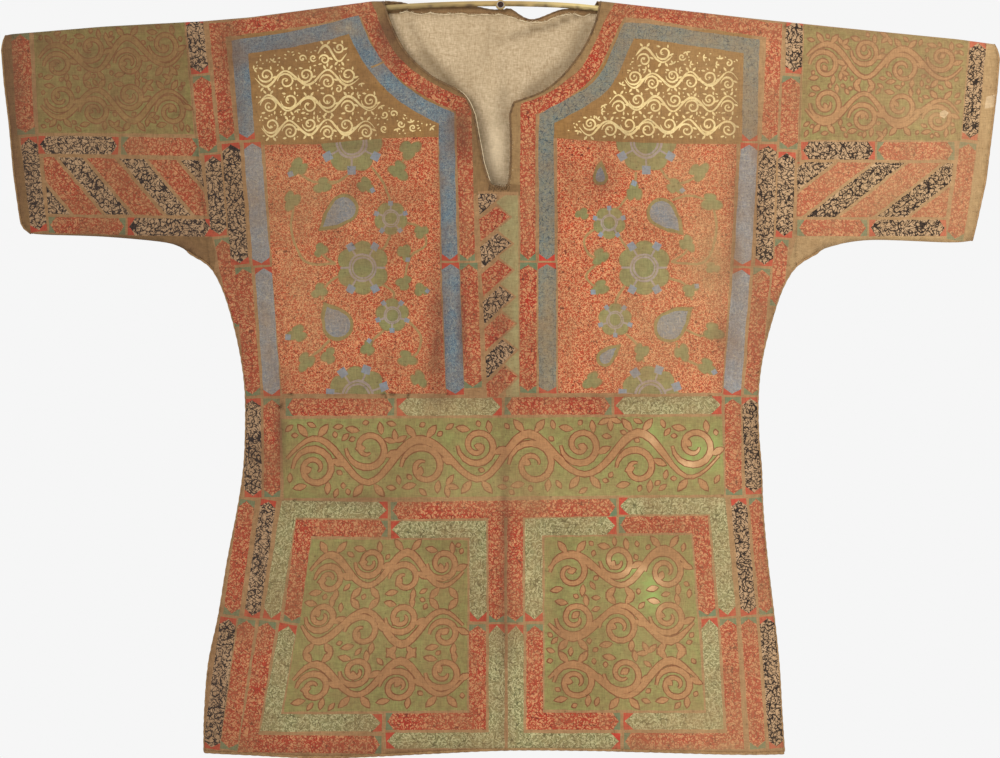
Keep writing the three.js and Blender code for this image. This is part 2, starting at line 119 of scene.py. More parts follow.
# The largest folds, as in the frame: x at the top, lean, top, bottom, half width, rise.
FRONT_FOLDS = (
    (3, 2, -300, -780, 20, -2.2), (-58, -4, -250, -430, 24, -1.4), (-160, -18, -420, -790, 34, 2.4),
    (128, 10, -470, -790, 36, 2.2), (-222, 10, -260, -500, 26, -1.6), (232, -14, -250, -470, 26, -1.5),
    (60, 6, -560, -800, 26, 1.6), (-400, 16, -60, -220, 34, 1.2), (392, -12, -70, -230, 34, 1.2),
)
BACK_FOLDS = (
    (-6, 8, -60, -620, 30, -1.8), (-140, -24, -380, -790, 36, 2.2), (118, 26, -340, -790, 34, 2.4),
    (214, -8, -250, -480, 28, -1.6), (-212, 12, -250, -470, 28, -1.4),
)
# Smaller creases: from u, v to u, v, half width and rise (below 0 a trough, above 0 a ridge).
FRONT_CREASES = (
    (504, 290, 506, 752, 4.5, -1.5), (511, 420, 514, 745, 7, 0.9), (442, 282, 447, 412, 6, -1.9),
    (452, 290, 456, 400, 6, 1.1), (279, 392, 283, 482, 5, -1.8), (288, 400, 296, 500, 7, 1.0),
    (384, 500, 386, 750, 6, -0.9), (621, 500, 623, 748, 6, -0.9), (255, 264, 450, 259, 5, -0.8),
    (545, 261, 745, 266, 5, -0.8), (250, 396, 480, 398, 4.5, -1.0), (520, 397, 745, 395, 4.5, -0.8),
    (238, 498, 480, 499, 5, -1.1), (530, 498, 758, 496, 5, -1.0), (210, 617, 470, 622, 5, -0.9),
    (540, 621, 778, 618, 5, -0.9), (214, 258, 300, 170, 9, 1.6), (222, 275, 290, 215, 6, -1.2),
    (792, 258, 712, 168, 9, 1.5), (782, 275, 728, 210, 6, -1.1), (236, 330, 300, 345, 8, -1.0),
    (742, 330, 690, 352, 8, -0.9), (300, 150, 330, 330, 12, 0.8), (690, 160, 672, 330, 12, 0.7),
    (345, 520, 352, 700, 9, 0.8), (432, 545, 428, 690, 8, -0.7), (580, 545, 590, 700, 10, 0.8),
    (660, 560, 668, 730, 8, -0.8), (60, 50, 92, 215, 12, 0.9), (110, 30, 150, 130, 9, -0.8),
    (172, 40, 186, 225, 8, -0.9), (860, 45, 846, 215, 10, 0.9), (926, 50, 915, 225, 9, -0.8),
    (812, 40, 806, 225, 8, -0.9), (184, 18, 211, 262, 3, -1.0), (803, 22, 795, 262, 3, -1.0),
)
BACK_CREASES = (
    (497, 40, 502, 700, 5, -1.4), (250, 262, 470, 268, 6, -0.9), (530, 268, 750, 262, 6, -0.9),
    (245, 470, 750, 476, 6, -1.1), (215, 260, 310, 160, 10, 1.5), (790, 258, 700, 165, 10, 1.5),
    (330, 320, 318, 640, 10, 1.0), (402, 420, 392, 720, 9, -0.9), (610, 380, 628, 730, 10, 1.0),
    (690, 430, 700, 700, 8, -0.9), (90, 45, 104, 215, 12, 0.9), (905, 50, 890, 222, 12, 0.9),
    (184, 18, 211, 262, 3, -1.0), (803, 22, 795, 262, 3, -1.0),
)
LINING_CREASES = (
    (578, 14, 532, 29, 3.0, -2.6), (533, 29, 508, 38, 2.6, -2.0), (566, 30, 512, 48, 6, 0.6),
    (428, 50, 474, 108, 7, -1.7), (462, 28, 480, 165, 9, 0.5), (500, 30, 489, 182, 7, -1.9),
    (410, 20, 440, 66, 7, 0.5), (540, 46, 520, 96, 7, -1.2),
)
# The sides of the cloth: -1 for the front and 1 for the back, with the folds and the creases of each.
FRONT = (-1, FRONT_FOLDS, FRONT_CREASES)
BACK = (1, BACK_FOLDS, BACK_CREASES)
BACK_LINING = (1, BACK_FOLDS, BACK_CREASES + LINING_CREASES)


# ---------- Reading tables, curves and offsets ----------
def at_sheet(u, v):
    """x and z of a place on the painted sheet."""
    return (u - SHEET_LEFT, SHEET_TOP - v)


def read(table, at, column=1, by=0):
    """A column of a table at values of another one, in straight lines between its rows."""
    rows = sorted(table, key=lambda row: row[by])
    return np.interp(at, [row[by] for row in rows], [row[column] for row in rows])


def crest_middle(x):
    """z of the cloth's middle surface along its top."""
    return read(CREST, x) - CAD_COTTON / 2


def resample(points, step=5.0, closed=False):
    """Points along straight lines, at most a step apart, with every corner kept."""
    made = []
    ends = list(points[1:]) + ([points[0]] if closed else [])
    for a, b in zip(points, ends):
        count = max(1, math.ceil(math.dist(a, b) / step))
        made += [(a[0] + (b[0] - a[0]) * i / count, a[1] + (b[1] - a[1]) * i / count) for i in range(count)]
    return made if closed else made + [tuple(points[-1])]


def curve(points, step=4.0):
    """A smooth curve through the points."""
    made = []
    padded = [points[0], *points, points[-1]]
    for a, b, c, d in zip(padded, padded[1:], padded[2:], padded[3:]):
        count = max(1, math.ceil(math.dist(b, c) / step))
        for i in range(count):
            t = i / count
            made.append(tuple(0.5 * (2 * q + (r - p) * t + (2 * p - 5 * q + 4 * r - s) * t * t
                                     + (3 * q - p - 3 * r + s) * t ** 3) for p, q, r, s in zip(a, b, c, d)))
    return made + [tuple(points[-1])]


def ribbon(path, half):
    """The outline of a ribbon on a middle line. half is a number or a function of the share along it."""
    left, right = [], []
    last = len(path) - 1
    for i, (u, v) in enumerate(path):
        before, after = path[max(0, i - 1)], path[min(last, i + 1)]
        d0 = Vector((u - before[0], v - before[1]))
        d1 = Vector((after[0] - u, after[1] - v))
        d0 = d0.normalized() if d0.length > 1e-6 else d1.normalized()
        d1 = d1.normalized() if d1.length > 1e-6 else d0
        along = (d0 + d1).normalized()
        wide = (half(i / last) if callable(half) else half) / max(0.4, along.dot(d1))
        left.append((u - along.y * wide, v + along.x * wide))
        right.append((u + along.y * wide, v - along.x * wide))
    return left + right[::-1]


def shorten(path, start, end):
    """The path without a length at its start and at its end."""
    made = [Vector(p) for p in path]
    for length, flip in ((start, False), (end, True)):
        if flip:
            made.reverse()
        while len(made) > 2 and (made[1] - made[0]).length <= length:
            length -= (made[1] - made[0]).length
            made.pop(0)
        made[0] = made[0] + (made[1] - made[0]).normalized() * length
        if flip:
            made.reverse()
    return [tuple(p) for p in made]


# ---------- The form of the cloth ----------
def distance_to_lines(x, z, lines):
    """Distance of each point from the nearest of the lines."""
    nearest = np.full(x.shape, 1e9)
    for line in lines:
        for (ax, az), (bx, bz) in zip(line, line[1:]):
            dx, dz = bx - ax, bz - az
            share = np.clip(((x - ax) * dx + (z - az) * dz) / (dx * dx + dz * dz), 0, 1)
            nearest = np.minimum(nearest, np.hypot(x - ax - share * dx, z - az - share * dz))
    return nearest


LEFT_EDGE = curve(UNDERARM_LEFT + tuple((row[1], row[0]) for row in SIDES[1:]), GRID)
RIGHT_EDGE = curve(UNDERARM_RIGHT + tuple((row[2], row[0]) for row in SIDES[1:]), GRID)
PINCHED = (LEFT_EDGE, RIGHT_EDGE)  # where front and back meet in a seam


def fold_rise(folds, x, z):
    """How far the large folds lift the cloth outward."""
    rise = np.zeros(x.shape)
    for fx, lean, top, bottom, width, high in folds:
        share = np.clip((top - z) / (top - bottom), 0, 1)
        rise += high * np.exp(-(((x - fx - lean * share) / width) ** 2)) * np.sin(np.pi * share)
    return rise


def crease_rise(creases, x, z):
    """The same for the smaller creases, which wander a little and fade at their ends."""
    rise = np.zeros(x.shape)
    for number, (u0, v0, u1, v1, width, high) in enumerate(creases):
        (ax, az), (bx, bz) = at_sheet(u0, v0), at_sheet(u1, v1)
        length = math.hypot(bx - ax, bz - az)
        along = ((x - ax) * (bx - ax) + (z - az) * (bz - az)) / length
        across = ((x - ax) * (bz - az) - (z - az) * (bx - ax)) / length
        share = along / length
        wander = 1.6 * np.sin(along / 23 + number) + 0.9 * np.sin(along / 9 + 2 * number)
        ends = np.clip(np.minimum(share, 1 - share) * 5, 0, 1)
        uneven = 0.75 + 0.35 * np.sin(along / 31 + 1.7 * number)
        rise += high * uneven * ends * ends * (3 - 2 * ends) * np.exp(-(((across - wander) / width) ** 2))
    return rise


def rumple(x, z, side):
    """Slight unevenness everywhere, as starched cloth keeps."""
    values = [0.55 * noise.noise(Vector((a / 34, b / 46, side * 5.3))) + 0.28 * noise.noise(
        Vector((a / 13, b / 15, side * 9.1))) for a, b in zip(x, z)]
    return np.array(values)


def surface(x, z, form, inward=0.0):
    """y of the middle surface of one side of the cloth, moved inward by a distance."""
    side, folds, creases = form
    crest = crest_middle(x)
    below = np.maximum(0, crest - FOLD_RADIUS - z)
    outward = np.clip((np.abs(x) - SLEEVE_FROM) / SLEEVE_RUN, 0, 1)
    share = 1 + (SLEEVE_SHARE - 1) * outward * outward * (3 - 2 * outward)
    near = distance_to_lines(x, z, PINCHED)
    calm = (1 - np.exp(-below / CALM_TOP)) * (1 - np.exp(-near / CALM_SEAM))
    fine = (crease_rise(creases, x, z) + rumple(x, z, side)) * calm
    full = read(DEPTHS, z) * share + fold_rise(folds, x, z) + fine
    high = np.exp(-below / FOLD_FALL)
    hung = FOLD_RADIUS + (full - FOLD_RADIUS) * (1 - high) + fine * high
    depth = SEAM_HALF + (hung - SEAM_HALF) * (1 - np.exp(-near / EDGE_FALL))
    drop = np.clip(crest - z, 0, FOLD_RADIUS)
    round_fold = np.sqrt(np.maximum(0, FOLD_RADIUS ** 2 - (FOLD_RADIUS - drop) ** 2))
    flattened = np.where(near > SEAM_REACH, round_fold, np.minimum(round_fold, depth))
    depth = np.where(crest - z < FOLD_RADIUS, flattened, depth)
    return side * (depth - inward)


# ---------- The painted layout ----------
def wobble(outline, amount, seed=0.0):
    """The outline moved unevenly, by up to about an amount."""
    made = []
    lift = Vector((0, 0, 9))
    for u, v in outline:
        slow, quick = Vector((u / 11, v / 11, seed)), Vector((u / 3.5, v / 3.5, seed + 3))
        made.append((u + amount * (1.3 * noise.noise(slow) + 0.6 * noise.noise(quick)),
                     v + amount * (1.3 * noise.noise(slow + lift) + 0.6 * noise.noise(quick - lift))))
    return made


class Painting:
    """Outlines laid over each other in painting order, each with the material of its paint."""

    def __init__(self):
        self.shapes = []

    def fill(self, paint, outline, step=4.8, shake=0.55):
        """Lays down one outline, its edges as unsteady as a brush leaves them."""
        made = wobble(resample(outline, step, closed=True), shake, len(self.shapes) * 0.37)
        self.shapes.append((paint, [at_sheet(u, v) for u, v in made]))


# The pointed ends of each kind of band: paint of the corners round them, length, and whether they are lobed.
BAND_ENDS = {
    "red_band": ("green_end", 6.0, True), "black_band": ("red_end", 6.0, True),
    "blue_band": ("red_end", 5.5, False), "blue_worn": ("red_end", 5.5, False),
    "blue_pale": ("red_end", 5.5, False), "pale_band": ("red_end", 8.5, False),
}
# The lobes, as shares of a pointed end's length and of the band's half width.
LOBES = ((0.3, 0.62), (0.52, 0.46), (0.72, 0.2))
BAND_EDGE = 0.4  # how far a band reaches past its width on each side
POINT_GAP = 1.2  # from a pointed end to the end of the band's path
CORNER_REACH = 2.6  # how far the corners reach back past the length of a pointed end


def band(painting, paint, path, width, start=True, end=True):
    """A written band: a cartouche with pointed ends between accent corners, at the start, the end or both."""
    accent, tip, lobed = BAND_ENDS[paint]
    half = width / 2 + BAND_EDGE
    spare = sum(math.dist(a, b) for a, b in zip(path, path[1:])) - tip - CORNER_REACH
    for pointed, before, after in ((start, 0, spare), (end, spare, 0)):
        if pointed:
            painting.fill(accent, ribbon(shorten(path, before, after), half))
    inset = tip + POINT_GAP
    inner = shorten(path, inset if start else 0, inset if end else 0)
    outline = ribbon(inner, half)
    lobes = LOBES if lobed else ()
    made = list(outline[:len(inner)])
    for pointed, here, towards in ((end, inner[-1], path[-1]), (start, inner[0], path[0])):
        if pointed:
            d = Vector((towards[0] - here[0], towards[1] - here[1])).normalized()
            middle, reach, side = Vector(here), d * tip, Vector((-d.y, d.x)) * half
            made += [tuple(middle + reach * along + side * across) for along, across in lobes]
            made.append(tuple(middle + reach))
            made += [tuple(middle + reach * along - side * across) for along, across in lobes[::-1]]
        if towards is path[-1]:
            made += outline[len(inner):]
    painting.fill(paint, made)


def almond(u, v, length, width, angle):
    """A leaf shape with two pointed ends, growing from u, v."""
    c, s = math.cos(angle), math.sin(angle)
    made = []
    for side in (1, -1):
        shares = (0.0, 0.2, 0.5, 0.8) if side == 1 else (1.0, 0.8, 0.5, 0.2)
        for t in shares:
            across = side * width / 2 * math.sin(math.pi * t) ** 0.85
            made.append((u + c * t * length - s * across, v + s * t * length + c * across))
    return made


def trefoil(painting, u, v, size, angle, bud=False):
    """A small leaf of three rounded lobes, centred on u, v, with a blue bud beside it on some."""
    c, s = math.cos(angle), math.sin(angle)
    for grow, colour in ((1.14, "leaf_line"), (1.0, "leaf")):
        outline = []
        for i in range(30):
            a = 2 * math.pi * i / 30
            r = size * grow * (0.34 + 0.26 * abs(math.cos(1.5 * a)) ** 0.8 + 0.03 * math.sin(5 * a + size))
            x, y = 1.18 * r * math.cos(a), 0.95 * r * math.sin(a)
            outline.append((u + c * x - s * y, v + s * x + c * y))
        painting.fill(colour, outline, 3)
    if bud:
        square(painting, "blue_dot", u + c * size * 0.62, v + s * size * 0.62, size * 0.36, angle + 0.4)


def disc(u, v, radius, count=20, scallop=0.0, petals=6, turn=0.0):
    """A circle, or with a scallop the outline of a flower."""
    made = []
    for i in range(count):
        angle = 2 * math.pi * i / count
        r = radius * (1 - scallop + scallop * abs(math.cos(petals * (angle - turn) / 2)) ** 0.55)
        made.append((u + r * math.cos(angle), v + r * math.sin(angle)))
    return made


def square(painting, paint, u, v, size, angle=0.0):
    c, s = math.cos(angle), math.sin(angle)
    half = size / 2
    corners = ((-1, -1), (1, -1), (1, 1), (-1, 1))
    painting.fill(paint, [(u + half * (a * c - b * s), v + half * (a * s + b * c)) for a, b in corners])


def flower(painting, u, v, radius, turn=0.0, petals=6):
    """Petals round a double ring, with spokes between them that end in blue buds."""
    painting.fill("leaf_line", disc(u, v, radius + 0.7, 66, 0.3, petals, turn), 3)
    painting.fill("petal", disc(u, v, radius, 66, 0.3, petals, turn), 3)
    for i in range(petals):
        angle = turn + 2 * math.pi * (i + 0.5) / petals
        c, s = math.cos(angle), math.sin(angle)
        spoke = [(u + c * radius * share, v + s * radius * share) for share in (0.45, 0.85)]
        painting.fill("lilac", ribbon(spoke, 0.95), 3)
        if abs(math.sin(angle)) > 0.2 or petals != 6:
            square(painting, "blue_dot", u + radius * 0.92 * c, v + radius * 0.92 * s, radius * 0.28, angle)
    for share, paint in ((0.54, "lilac"), (0.46, "petal"), (0.43, "lilac"), (0.36, "petal_heart")):
        painting.fill(paint, disc(u, v, radius * share, 24), 3)


def paisley(painting, u, v, radius, tip_u, tip_v):
    """A drop with a bent tip and an olive edge."""
    d = Vector((tip_u - u, tip_v - v))
    across = Vector((-d.y, d.x)).normalized()
    angle = math.atan2(d.y, d.x)
    for shrink, paint in ((0.0, "leaf_line"), (0.9, "olive"), (3.4, "paisley")):
        r = radius - shrink
        outline = [(u + r * math.cos(angle + math.pi * (0.4 + 1.2 * i / 20)),
                    v + r * math.sin(angle + math.pi * (0.4 + 1.2 * i / 20))) for i in range(21)]
        reach = d.length - 1.9 * shrink
        along = d.normalized()
        for share, side in ((0.62, -0.56), (0.86, -0.12), (1.0, 0.16), (0.8, 0.36), (0.55, 0.7)):
            p = Vector((u, v)) + along * reach * share + across * side * r
            outline.append((p.x, p.y))
        painting.fill(paint, outline, 3)


def vine(painting, points, width=2.5):
    """A thin curved stem."""
    painting.fill("vine", ribbon(curve(points, 4), width / 2), 4)


# Flowers of the two chest panels: u, v, radius, turn, petals.
FLOWERS = (
    (352, 143, 30, 0.0, 6), (363, 268, 26.5, 0.52, 6), (358, 396, 30, 0.1, 7), (391, 218.5, 16.5, 0.31, 5),
    (392.5, 315.5, 16.5, -0.31, 5), (646, 143, 30, 0.0, 6), (644, 268, 27, 0.52, 6), (650, 396, 30, 0.1, 7),
    (609, 223, 16, 0.31, 5), (615, 320, 16.5, -0.31, 5),
)
# Paisleys: u, v, radius, u and v of the tip.
PAISLEYS = (
    (344, 209, 15, 320, 233), (338, 325, 16, 322, 303), (661, 213, 15, 685, 234), (669, 327, 16, 691, 305),
    (600, 178, 8, 600, 160), (605, 358, 9, 620, 343),
)
# Leaves: u, v, size, turn.
LEAVES = (
    (298, 168, 15, 2.4), (292, 201, 14, 2.0), (323, 186, 13, 2.6), (366, 186, 13, 0.6),
    (410, 150, 16, -0.4), (399, 171, 15, 0.9), (405, 253, 12, 1.2), (404, 283, 12, -0.8),
    (320, 291, 12, 2.5), (297, 334, 15, 2.8), (306, 362, 14, 2.1), (329, 356, 12, -1.2),
    (368, 348, 12, -1.4), (407, 359, 14, 0.3), (419, 379, 13, 0.8), (421, 290, 11, 0.2),
    (421, 232, 11, -0.3), (321, 250, 11, 2.2), (634, 192, 14, -1.6), (600, 257, 13, 2.2),
    (699, 172, 15, -0.6), (675, 187, 13, 0.5), (711, 203, 15, 0.4), (687, 244, 13, 0.8),
    (600, 288, 13, 2.6), (641, 352, 13, 1.9), (592, 381, 14, 2.6), (690, 290, 12, -0.5),
    (713, 332, 15, 0.4), (682, 353, 13, 1.0), (707, 367, 14, 0.6), (582, 214, 10, 3.0), (712, 268, 10, 0.2),
)
# The vines that join them, as points.
VINES = (
    ((372, 168), (384, 184), (391, 203)), ((352, 172), (338, 182), (322, 186)),
    ((338, 182), (314, 182), (298, 172)), ((391, 234), (384, 248), (372, 256)),
    ((404, 222), (420, 228), (426, 244), (410, 258), (404, 284)), ((336, 264), (322, 254), (321, 244)),
    ((340, 276), (328, 284), (322, 300)), ((382, 284), (394, 292), (393, 300)),
    ((336, 264), (306, 262), (292, 232), (294, 206)), ((384, 330), (372, 342), (368, 356)),
    ((407, 320), (420, 334), (418, 352), (406, 360)), ((330, 340), (318, 352), (304, 362)),
    ((396, 172), (404, 160), (408, 150)), ((636, 172), (634, 186), (620, 206), (612, 212)),
    ((660, 170), (676, 184), (700, 176)), ((672, 200), (690, 196), (708, 202)),
    ((618, 236), (628, 250), (632, 256)), ((596, 228), (584, 240), (590, 256), (602, 258)),
    ((670, 262), (684, 254), (688, 246)), ((668, 278), (684, 284), (692, 300)),
    ((624, 286), (616, 300), (615, 306)), ((600, 262), (586, 276), (598, 290)),
    ((671, 262), (704, 262), (716, 232), (712, 206)), ((626, 334), (638, 346), (644, 362)),
    ((686, 330), (702, 336), (714, 332)), ((676, 342), (680, 356), (704, 368)),
)


def florals(painting, left, right, du=0, dv=0, low=0, high=500, smallest=0, buds=True):
    """The vines, flowers, paisleys and leaves between two u and two v, moved by du and dv."""
    within = lambda u, v: left < u < right and low < v < high
    for points in VINES:
        if left < points[0][0] < right:
            vine(painting, [(u + du, v + dv) for u, v in points])
    for u, v, radius, turn, petals in FLOWERS:
        if within(u, v):
            flower(painting, u + du, v + dv, radius, turn, petals)
    for u, v, radius, tip_u, tip_v in PAISLEYS:
        if within(u, v) and radius > smallest:
            paisley(painting, u + du, v + dv, radius, tip_u + du, tip_v + dv)
    for number, (u, v, size, turn) in enumerate(LEAVES):
        if within(u, v):
            trefoil(painting, u + du, v + dv, size, turn, buds and number % 3 == 0)


def row_span(corners, v0, v1, margin):
    """The stretch of u inside the outline over a range of v."""
    low, high = -1e9, 1e9
    for v in (v0, (v0 + v1) / 2, v1):
        cuts = []
        for (a, b), (c, d) in zip(corners, corners[1:] + corners[:1]):
            if (b - v) * (d - v) < 0:
                cuts.append(a + (c - a) * (v - b) / (d - b))
        if len(cuts) > 1:
            low, high = max(low, min(cuts)), min(high, max(cuts))
    return low + margin, high - margin


def squared(corners):
    """A four-sided panel as a rectangle, with the function that puts its points back on the cloth."""
    (a, b), (c, d), (e, f), (g, h) = corners
    wide = (math.dist((a, b), (c, d)) + math.dist((g, h), (e, f))) / 2
    high = (math.dist((a, b), (g, h)) + math.dist((c, d), (e, f))) / 2

    def place(x, y):
        s, t = x / wide, y / high
        return tuple((1 - t) * ((1 - s) * p + s * q) + t * ((1 - s) * r + s * o)
                     for p, q, o, r in ((a, c, e, g), (b, d, f, h)))

    return [(0, 0), (wide, 0), (wide, high), (0, high)], place


# What fills the room between the stems, the largest first: reach in widths of a stem, tries and kind.
FILLINGS = ((1.9, 260, "curl"), (1.25, 320, "sprig"), (0.7, 420, "leaf"), (0.42, 420, "dot"))


def scrolls(painting, corners, rows, width, margin, line, filling, pitch, edge=1.0, seed=1):
    """Scrolling stems in a panel: a curl in each hollow, leaves round it, and sprigs where room is left."""
    dice = random.Random(seed)
    place = lambda x, y: (x, y)
    if len(corners) == 4:
        corners, place = squared(corners)
    top = min(v for _, v in corners) + margin
    bottom = max(v for _, v in corners) - margin
    under, over, drawn = [], [], []

    def stroke(path, taper=0.0, share=1.0, beats=0.0):
        thick = lambda t: (share * width / 2 * (1 - taper * t) * min(1.0, 0.3 + 5 * t, 0.25 + 5 * (1 - t))
                           * (1 + 0.2 * math.sin(2 * math.pi * beats * t)))
        if line:
            under.append(ribbon(path, lambda t: thick(t) + edge))
        over.append(ribbon(path, thick))
        drawn.extend((u, v, share * width / 2) for u, v in path)

    def bud(u, v, size, angle, plump=0.46):
        c, s = math.cos(angle), math.sin(angle)
        if line:
            under.append(almond(u - c * edge, v - s * edge, size + 2.6 * edge,
                                size * plump + 2 * edge, angle))
        over.append(almond(u, v, size, size * plump, angle))
        drawn.extend((u + c * size * t, v + s * size * t, size * plump * 0.45) for t in (0.2, 0.5, 0.8))

    def curl(u, v, radius, start, turns, direction, taper=0.45, share=1.0, count=25):
        path = []
        for i in range(count + 1):
            t = i / count
            angle = start + direction * 2 * math.pi * turns * t
            r = radius * (1 - 0.78 * t)
            path.append((u + r * math.cos(angle), v + r * math.sin(angle)))
        stroke(path, taper, share)

    def has_room(u, v, reach):
        left, right = row_span(corners, v - reach, v + reach, margin * 0.5 + reach)
        if left < -1e8 or not left < u < right:
            return False
        taken = np.array(drawn)
        return bool(np.all(np.hypot(taken[:, 0] - u, taken[:, 1] - v) - taken[:, 2] > reach + 0.28 * width))

    height = (bottom - top) / rows
    for row in range(rows):
        v0, v1 = top + row * height, top + (row + 1) * height
        left, right = row_span(corners, v0 + 0.15 * height, v1 - 0.15 * height, margin)
        if right - left < pitch * 1.2:
            continue
        count = max(2, round((right - left) / pitch))
        step = (right - left) / count
        middle = (v0 + v1) / 2
        swing = height * 0.3
        phase = row % 2
        wave = lambda s: (middle - swing * math.sin(math.pi * (s + phase))
                          * (1 + 0.16 * math.sin(2.3 * s + seed)))
        stroke([(left + i / 8 * step, wave(i / 8)) for i in range(count * 8 + 1)], 0.0, 1.0, count / 2)
        for k in range(count):
            up = -1 if (k + phase) % 2 == 0 else 1
            radius = min(height * 0.36, step * 0.43) * dice.uniform(0.86, 1.06)
            cu = left + (k + 0.5) * step + dice.uniform(-0.05, 0.06) * step
            cv = middle - up * (height / 2 - radius - width * 0.5)
            curl(cu, cv, radius, math.pi, dice.uniform(1.25, 1.65), -up)
            bud(cu - width * 0.5, cv, width * 1.5, dice.uniform(0, 6), 0.7)
            for turn, size in ((0.35, 2.3), (0.75, 1.9), (1.15, 2.1)):
                angle = math.pi + -up * 2 * math.pi * (0.25 + turn * 0.5)
                base = (cu + radius * 0.86 * math.cos(angle), cv + radius * 0.86 * math.sin(angle))
                bud(base[0], base[1], width * size, angle - up * 0.9)
            crest = (left + (k + 0.5) * step, wave(k + 0.5) + up * width * 0.3)
            for lean in (-0.9, 0.9):
                bud(crest[0] + lean * width, crest[1], width * 2.4, up * math.pi / 2 + lean * up * -0.75)
    side_left, side_right = min(u for u, _ in corners), max(u for u, _ in corners)
    for reach, tries, kind in FILLINGS:
        reach *= width
        for _ in range(tries):
            u = dice.uniform(side_left, side_right)
            v = dice.uniform(top, bottom)
            angle = dice.uniform(0, 2 * math.pi)
            if not has_room(u, v, reach):
                continue
            back_u, back_v = reach * math.cos(angle), reach * math.sin(angle)
            if kind == "curl":
                curl(u, v, reach * 0.95, angle, 1.15, dice.choice((-1, 1)), 0.3, 0.8, 16)
                bud(u - width * 0.3, v, width, angle, 0.7)
            elif kind == "sprig":
                for lean in (-1.2, 0.0, 1.2):
                    bud(u - 0.7 * back_u, v - 0.7 * back_v, reach * 1.55, angle + lean, 0.42)
            else:
                bud(u - back_u, v - back_v, reach * 2, angle, 0.5 if kind == "leaf" else 0.8)
    for paint, outlines in ((line, under), (filling, over)):
        for outline in outlines:
            painting.fill(paint, [place(u, v) for u, v in outline], 4, 0.35)


def signed_area(points):
    return sum(a[0] * b[1] - b[0] * a[1] for a, b in zip(points, points[1:] + points[:1])) / 2


def clip(outline, corners):
    """The part of an outline inside a convex one."""
    made = list(outline)
    area = signed_area(corners)
    for a, b in zip(corners, corners[1:] + corners[:1]):
        depth = lambda p: ((b[0] - a[0]) * (p[1] - a[1]) - (b[1] - a[1]) * (p[0] - a[0])) * area
        points, made = made, []
        for p, q in zip(points, points[1:] + points[:1]):
            dp, dq = depth(p), depth(q)
            if dp >= 0:
                made.append(p)
            if (dp >= 0) != (dq >= 0):
                t = dp / (dp - dq)
                made.append((p[0] + (q[0] - p[0]) * t, p[1] + (q[1] - p[1]) * t))
        if len(made) < 3:
            return []
    return made


def stripes(painting, corners, first, period, shift, black, gap):
    """Slanting black and red stripes across a panel. Each moves by the shift from its top to its bottom."""
    top = min(v for _, v in corners)
    bottom = max(v for _, v in corners)
    for k in range(-2, 5):
        start = first + k * period
        middle, end = start + black, start + period - gap
        for paint, a, b in (("black_band", start, middle), ("red_band", middle + gap, end)):
            outline = clip([(a, top), (b, top), (b + shift, bottom), (a + shift, bottom)], corners)
            if outline:
                painting.fill(paint, outline)


# Straight bands: paint, u and v of the start and the end of the middle line, width.
SIDE_BANDS = (
    ("red_band", 20.5, 34, 26.5, 135, 17), ("black_band", 29, 137.5, 39.5, 231.5, 15.5),
    ("black_band", 39, 145, 119, 146, 17), ("red_band", 121.5, 146, 199.5, 147.5, 17),
    ("red_band", 49, 225, 126, 226.5, 15.5), ("black_band", 128, 226.5, 212, 228, 16.5),
    ("black_band", 194, 18, 200.5, 74, 16.5), ("red_band", 201.5, 76, 209, 153, 17),
    ("black_band", 213, 155, 219.5, 236, 15.5), ("red_band", 222, 238.5, 238, 326, 14),
    ("black_band", 231, 143.5, 240.5, 265, 17), ("red_band", 243.5, 267.5, 253, 395.5, 15.5),
    ("blue_pale", 252.5, 142.5, 262, 265, 16.5), ("blue_pale", 263.5, 267.5, 272.5, 396, 16),
    ("black_band", 978, 42, 969, 140, 15), ("red_band", 968, 143, 955, 240, 16),
    ("black_band", 801, 151, 874.5, 151, 17), ("red_band", 876.5, 151, 954, 151.5, 17),
    ("red_band", 797, 228, 867, 228, 15.5), ("black_band", 869, 228, 946, 228, 15.5),
    ("black_band", 794.5, 20, 793, 74, 16), ("red_band", 791, 76.5, 788, 149.5, 17),
    ("black_band", 786.5, 152, 783.5, 237.5, 16), ("red_band", 781.5, 239.5, 776, 306, 12.5),
    ("black_band", 767.5, 144.5, 763.5, 266, 17), ("red_band", 761.5, 268.5, 752, 395, 16),
    ("blue_pale", 749, 143.5, 742, 266, 16.5), ("blue_pale", 741.5, 268.5, 731.5, 395, 16.5),
    ("black_band", 252.5, 398.5, 253.5, 497, 16.5), ("red_band", 272, 398.5, 272.5, 497, 15.5),
    ("red_band", 732.5, 397, 733.5, 495, 15.5), ("black_band", 750, 397, 754, 494, 16.5),
    ("red_band", 247.5, 500, 231.5, 615, 15.5), ("black_band", 269, 500, 252, 617, 15),
    ("black_band", 738, 498.5, 748.5, 615, 14.5), ("red_band", 755.5, 497.5, 766.5, 614, 13.5),
    ("black_band", 229, 617.5, 211.5, 749, 16), ("red_band", 247.5, 619, 229, 749, 16.5),
    ("red_band", 748, 617, 757.5, 748, 15), ("black_band", 766.5, 616.5, 776.5, 748, 14.5),
)
CHEST_BANDS = (
    ("blue_band", 450.3, 263, 455.5, 395, 17), ("red_band", 468.7, 263, 473.2, 388, 16.5),
    ("blue_worn", 547, 263, 547.5, 393, 17), ("red_band", 528.3, 263, 528, 393, 16),
)
WAIST_BANDS = (
    ("red_band", 286, 407, 394.5, 407, 16.5), ("pale_band", 397, 407, 502, 406.5, 16.5),
    ("red_band", 504.5, 406, 611.5, 405.8, 16.5), ("pale_band", 614, 405.6, 721, 405, 16.5),
)
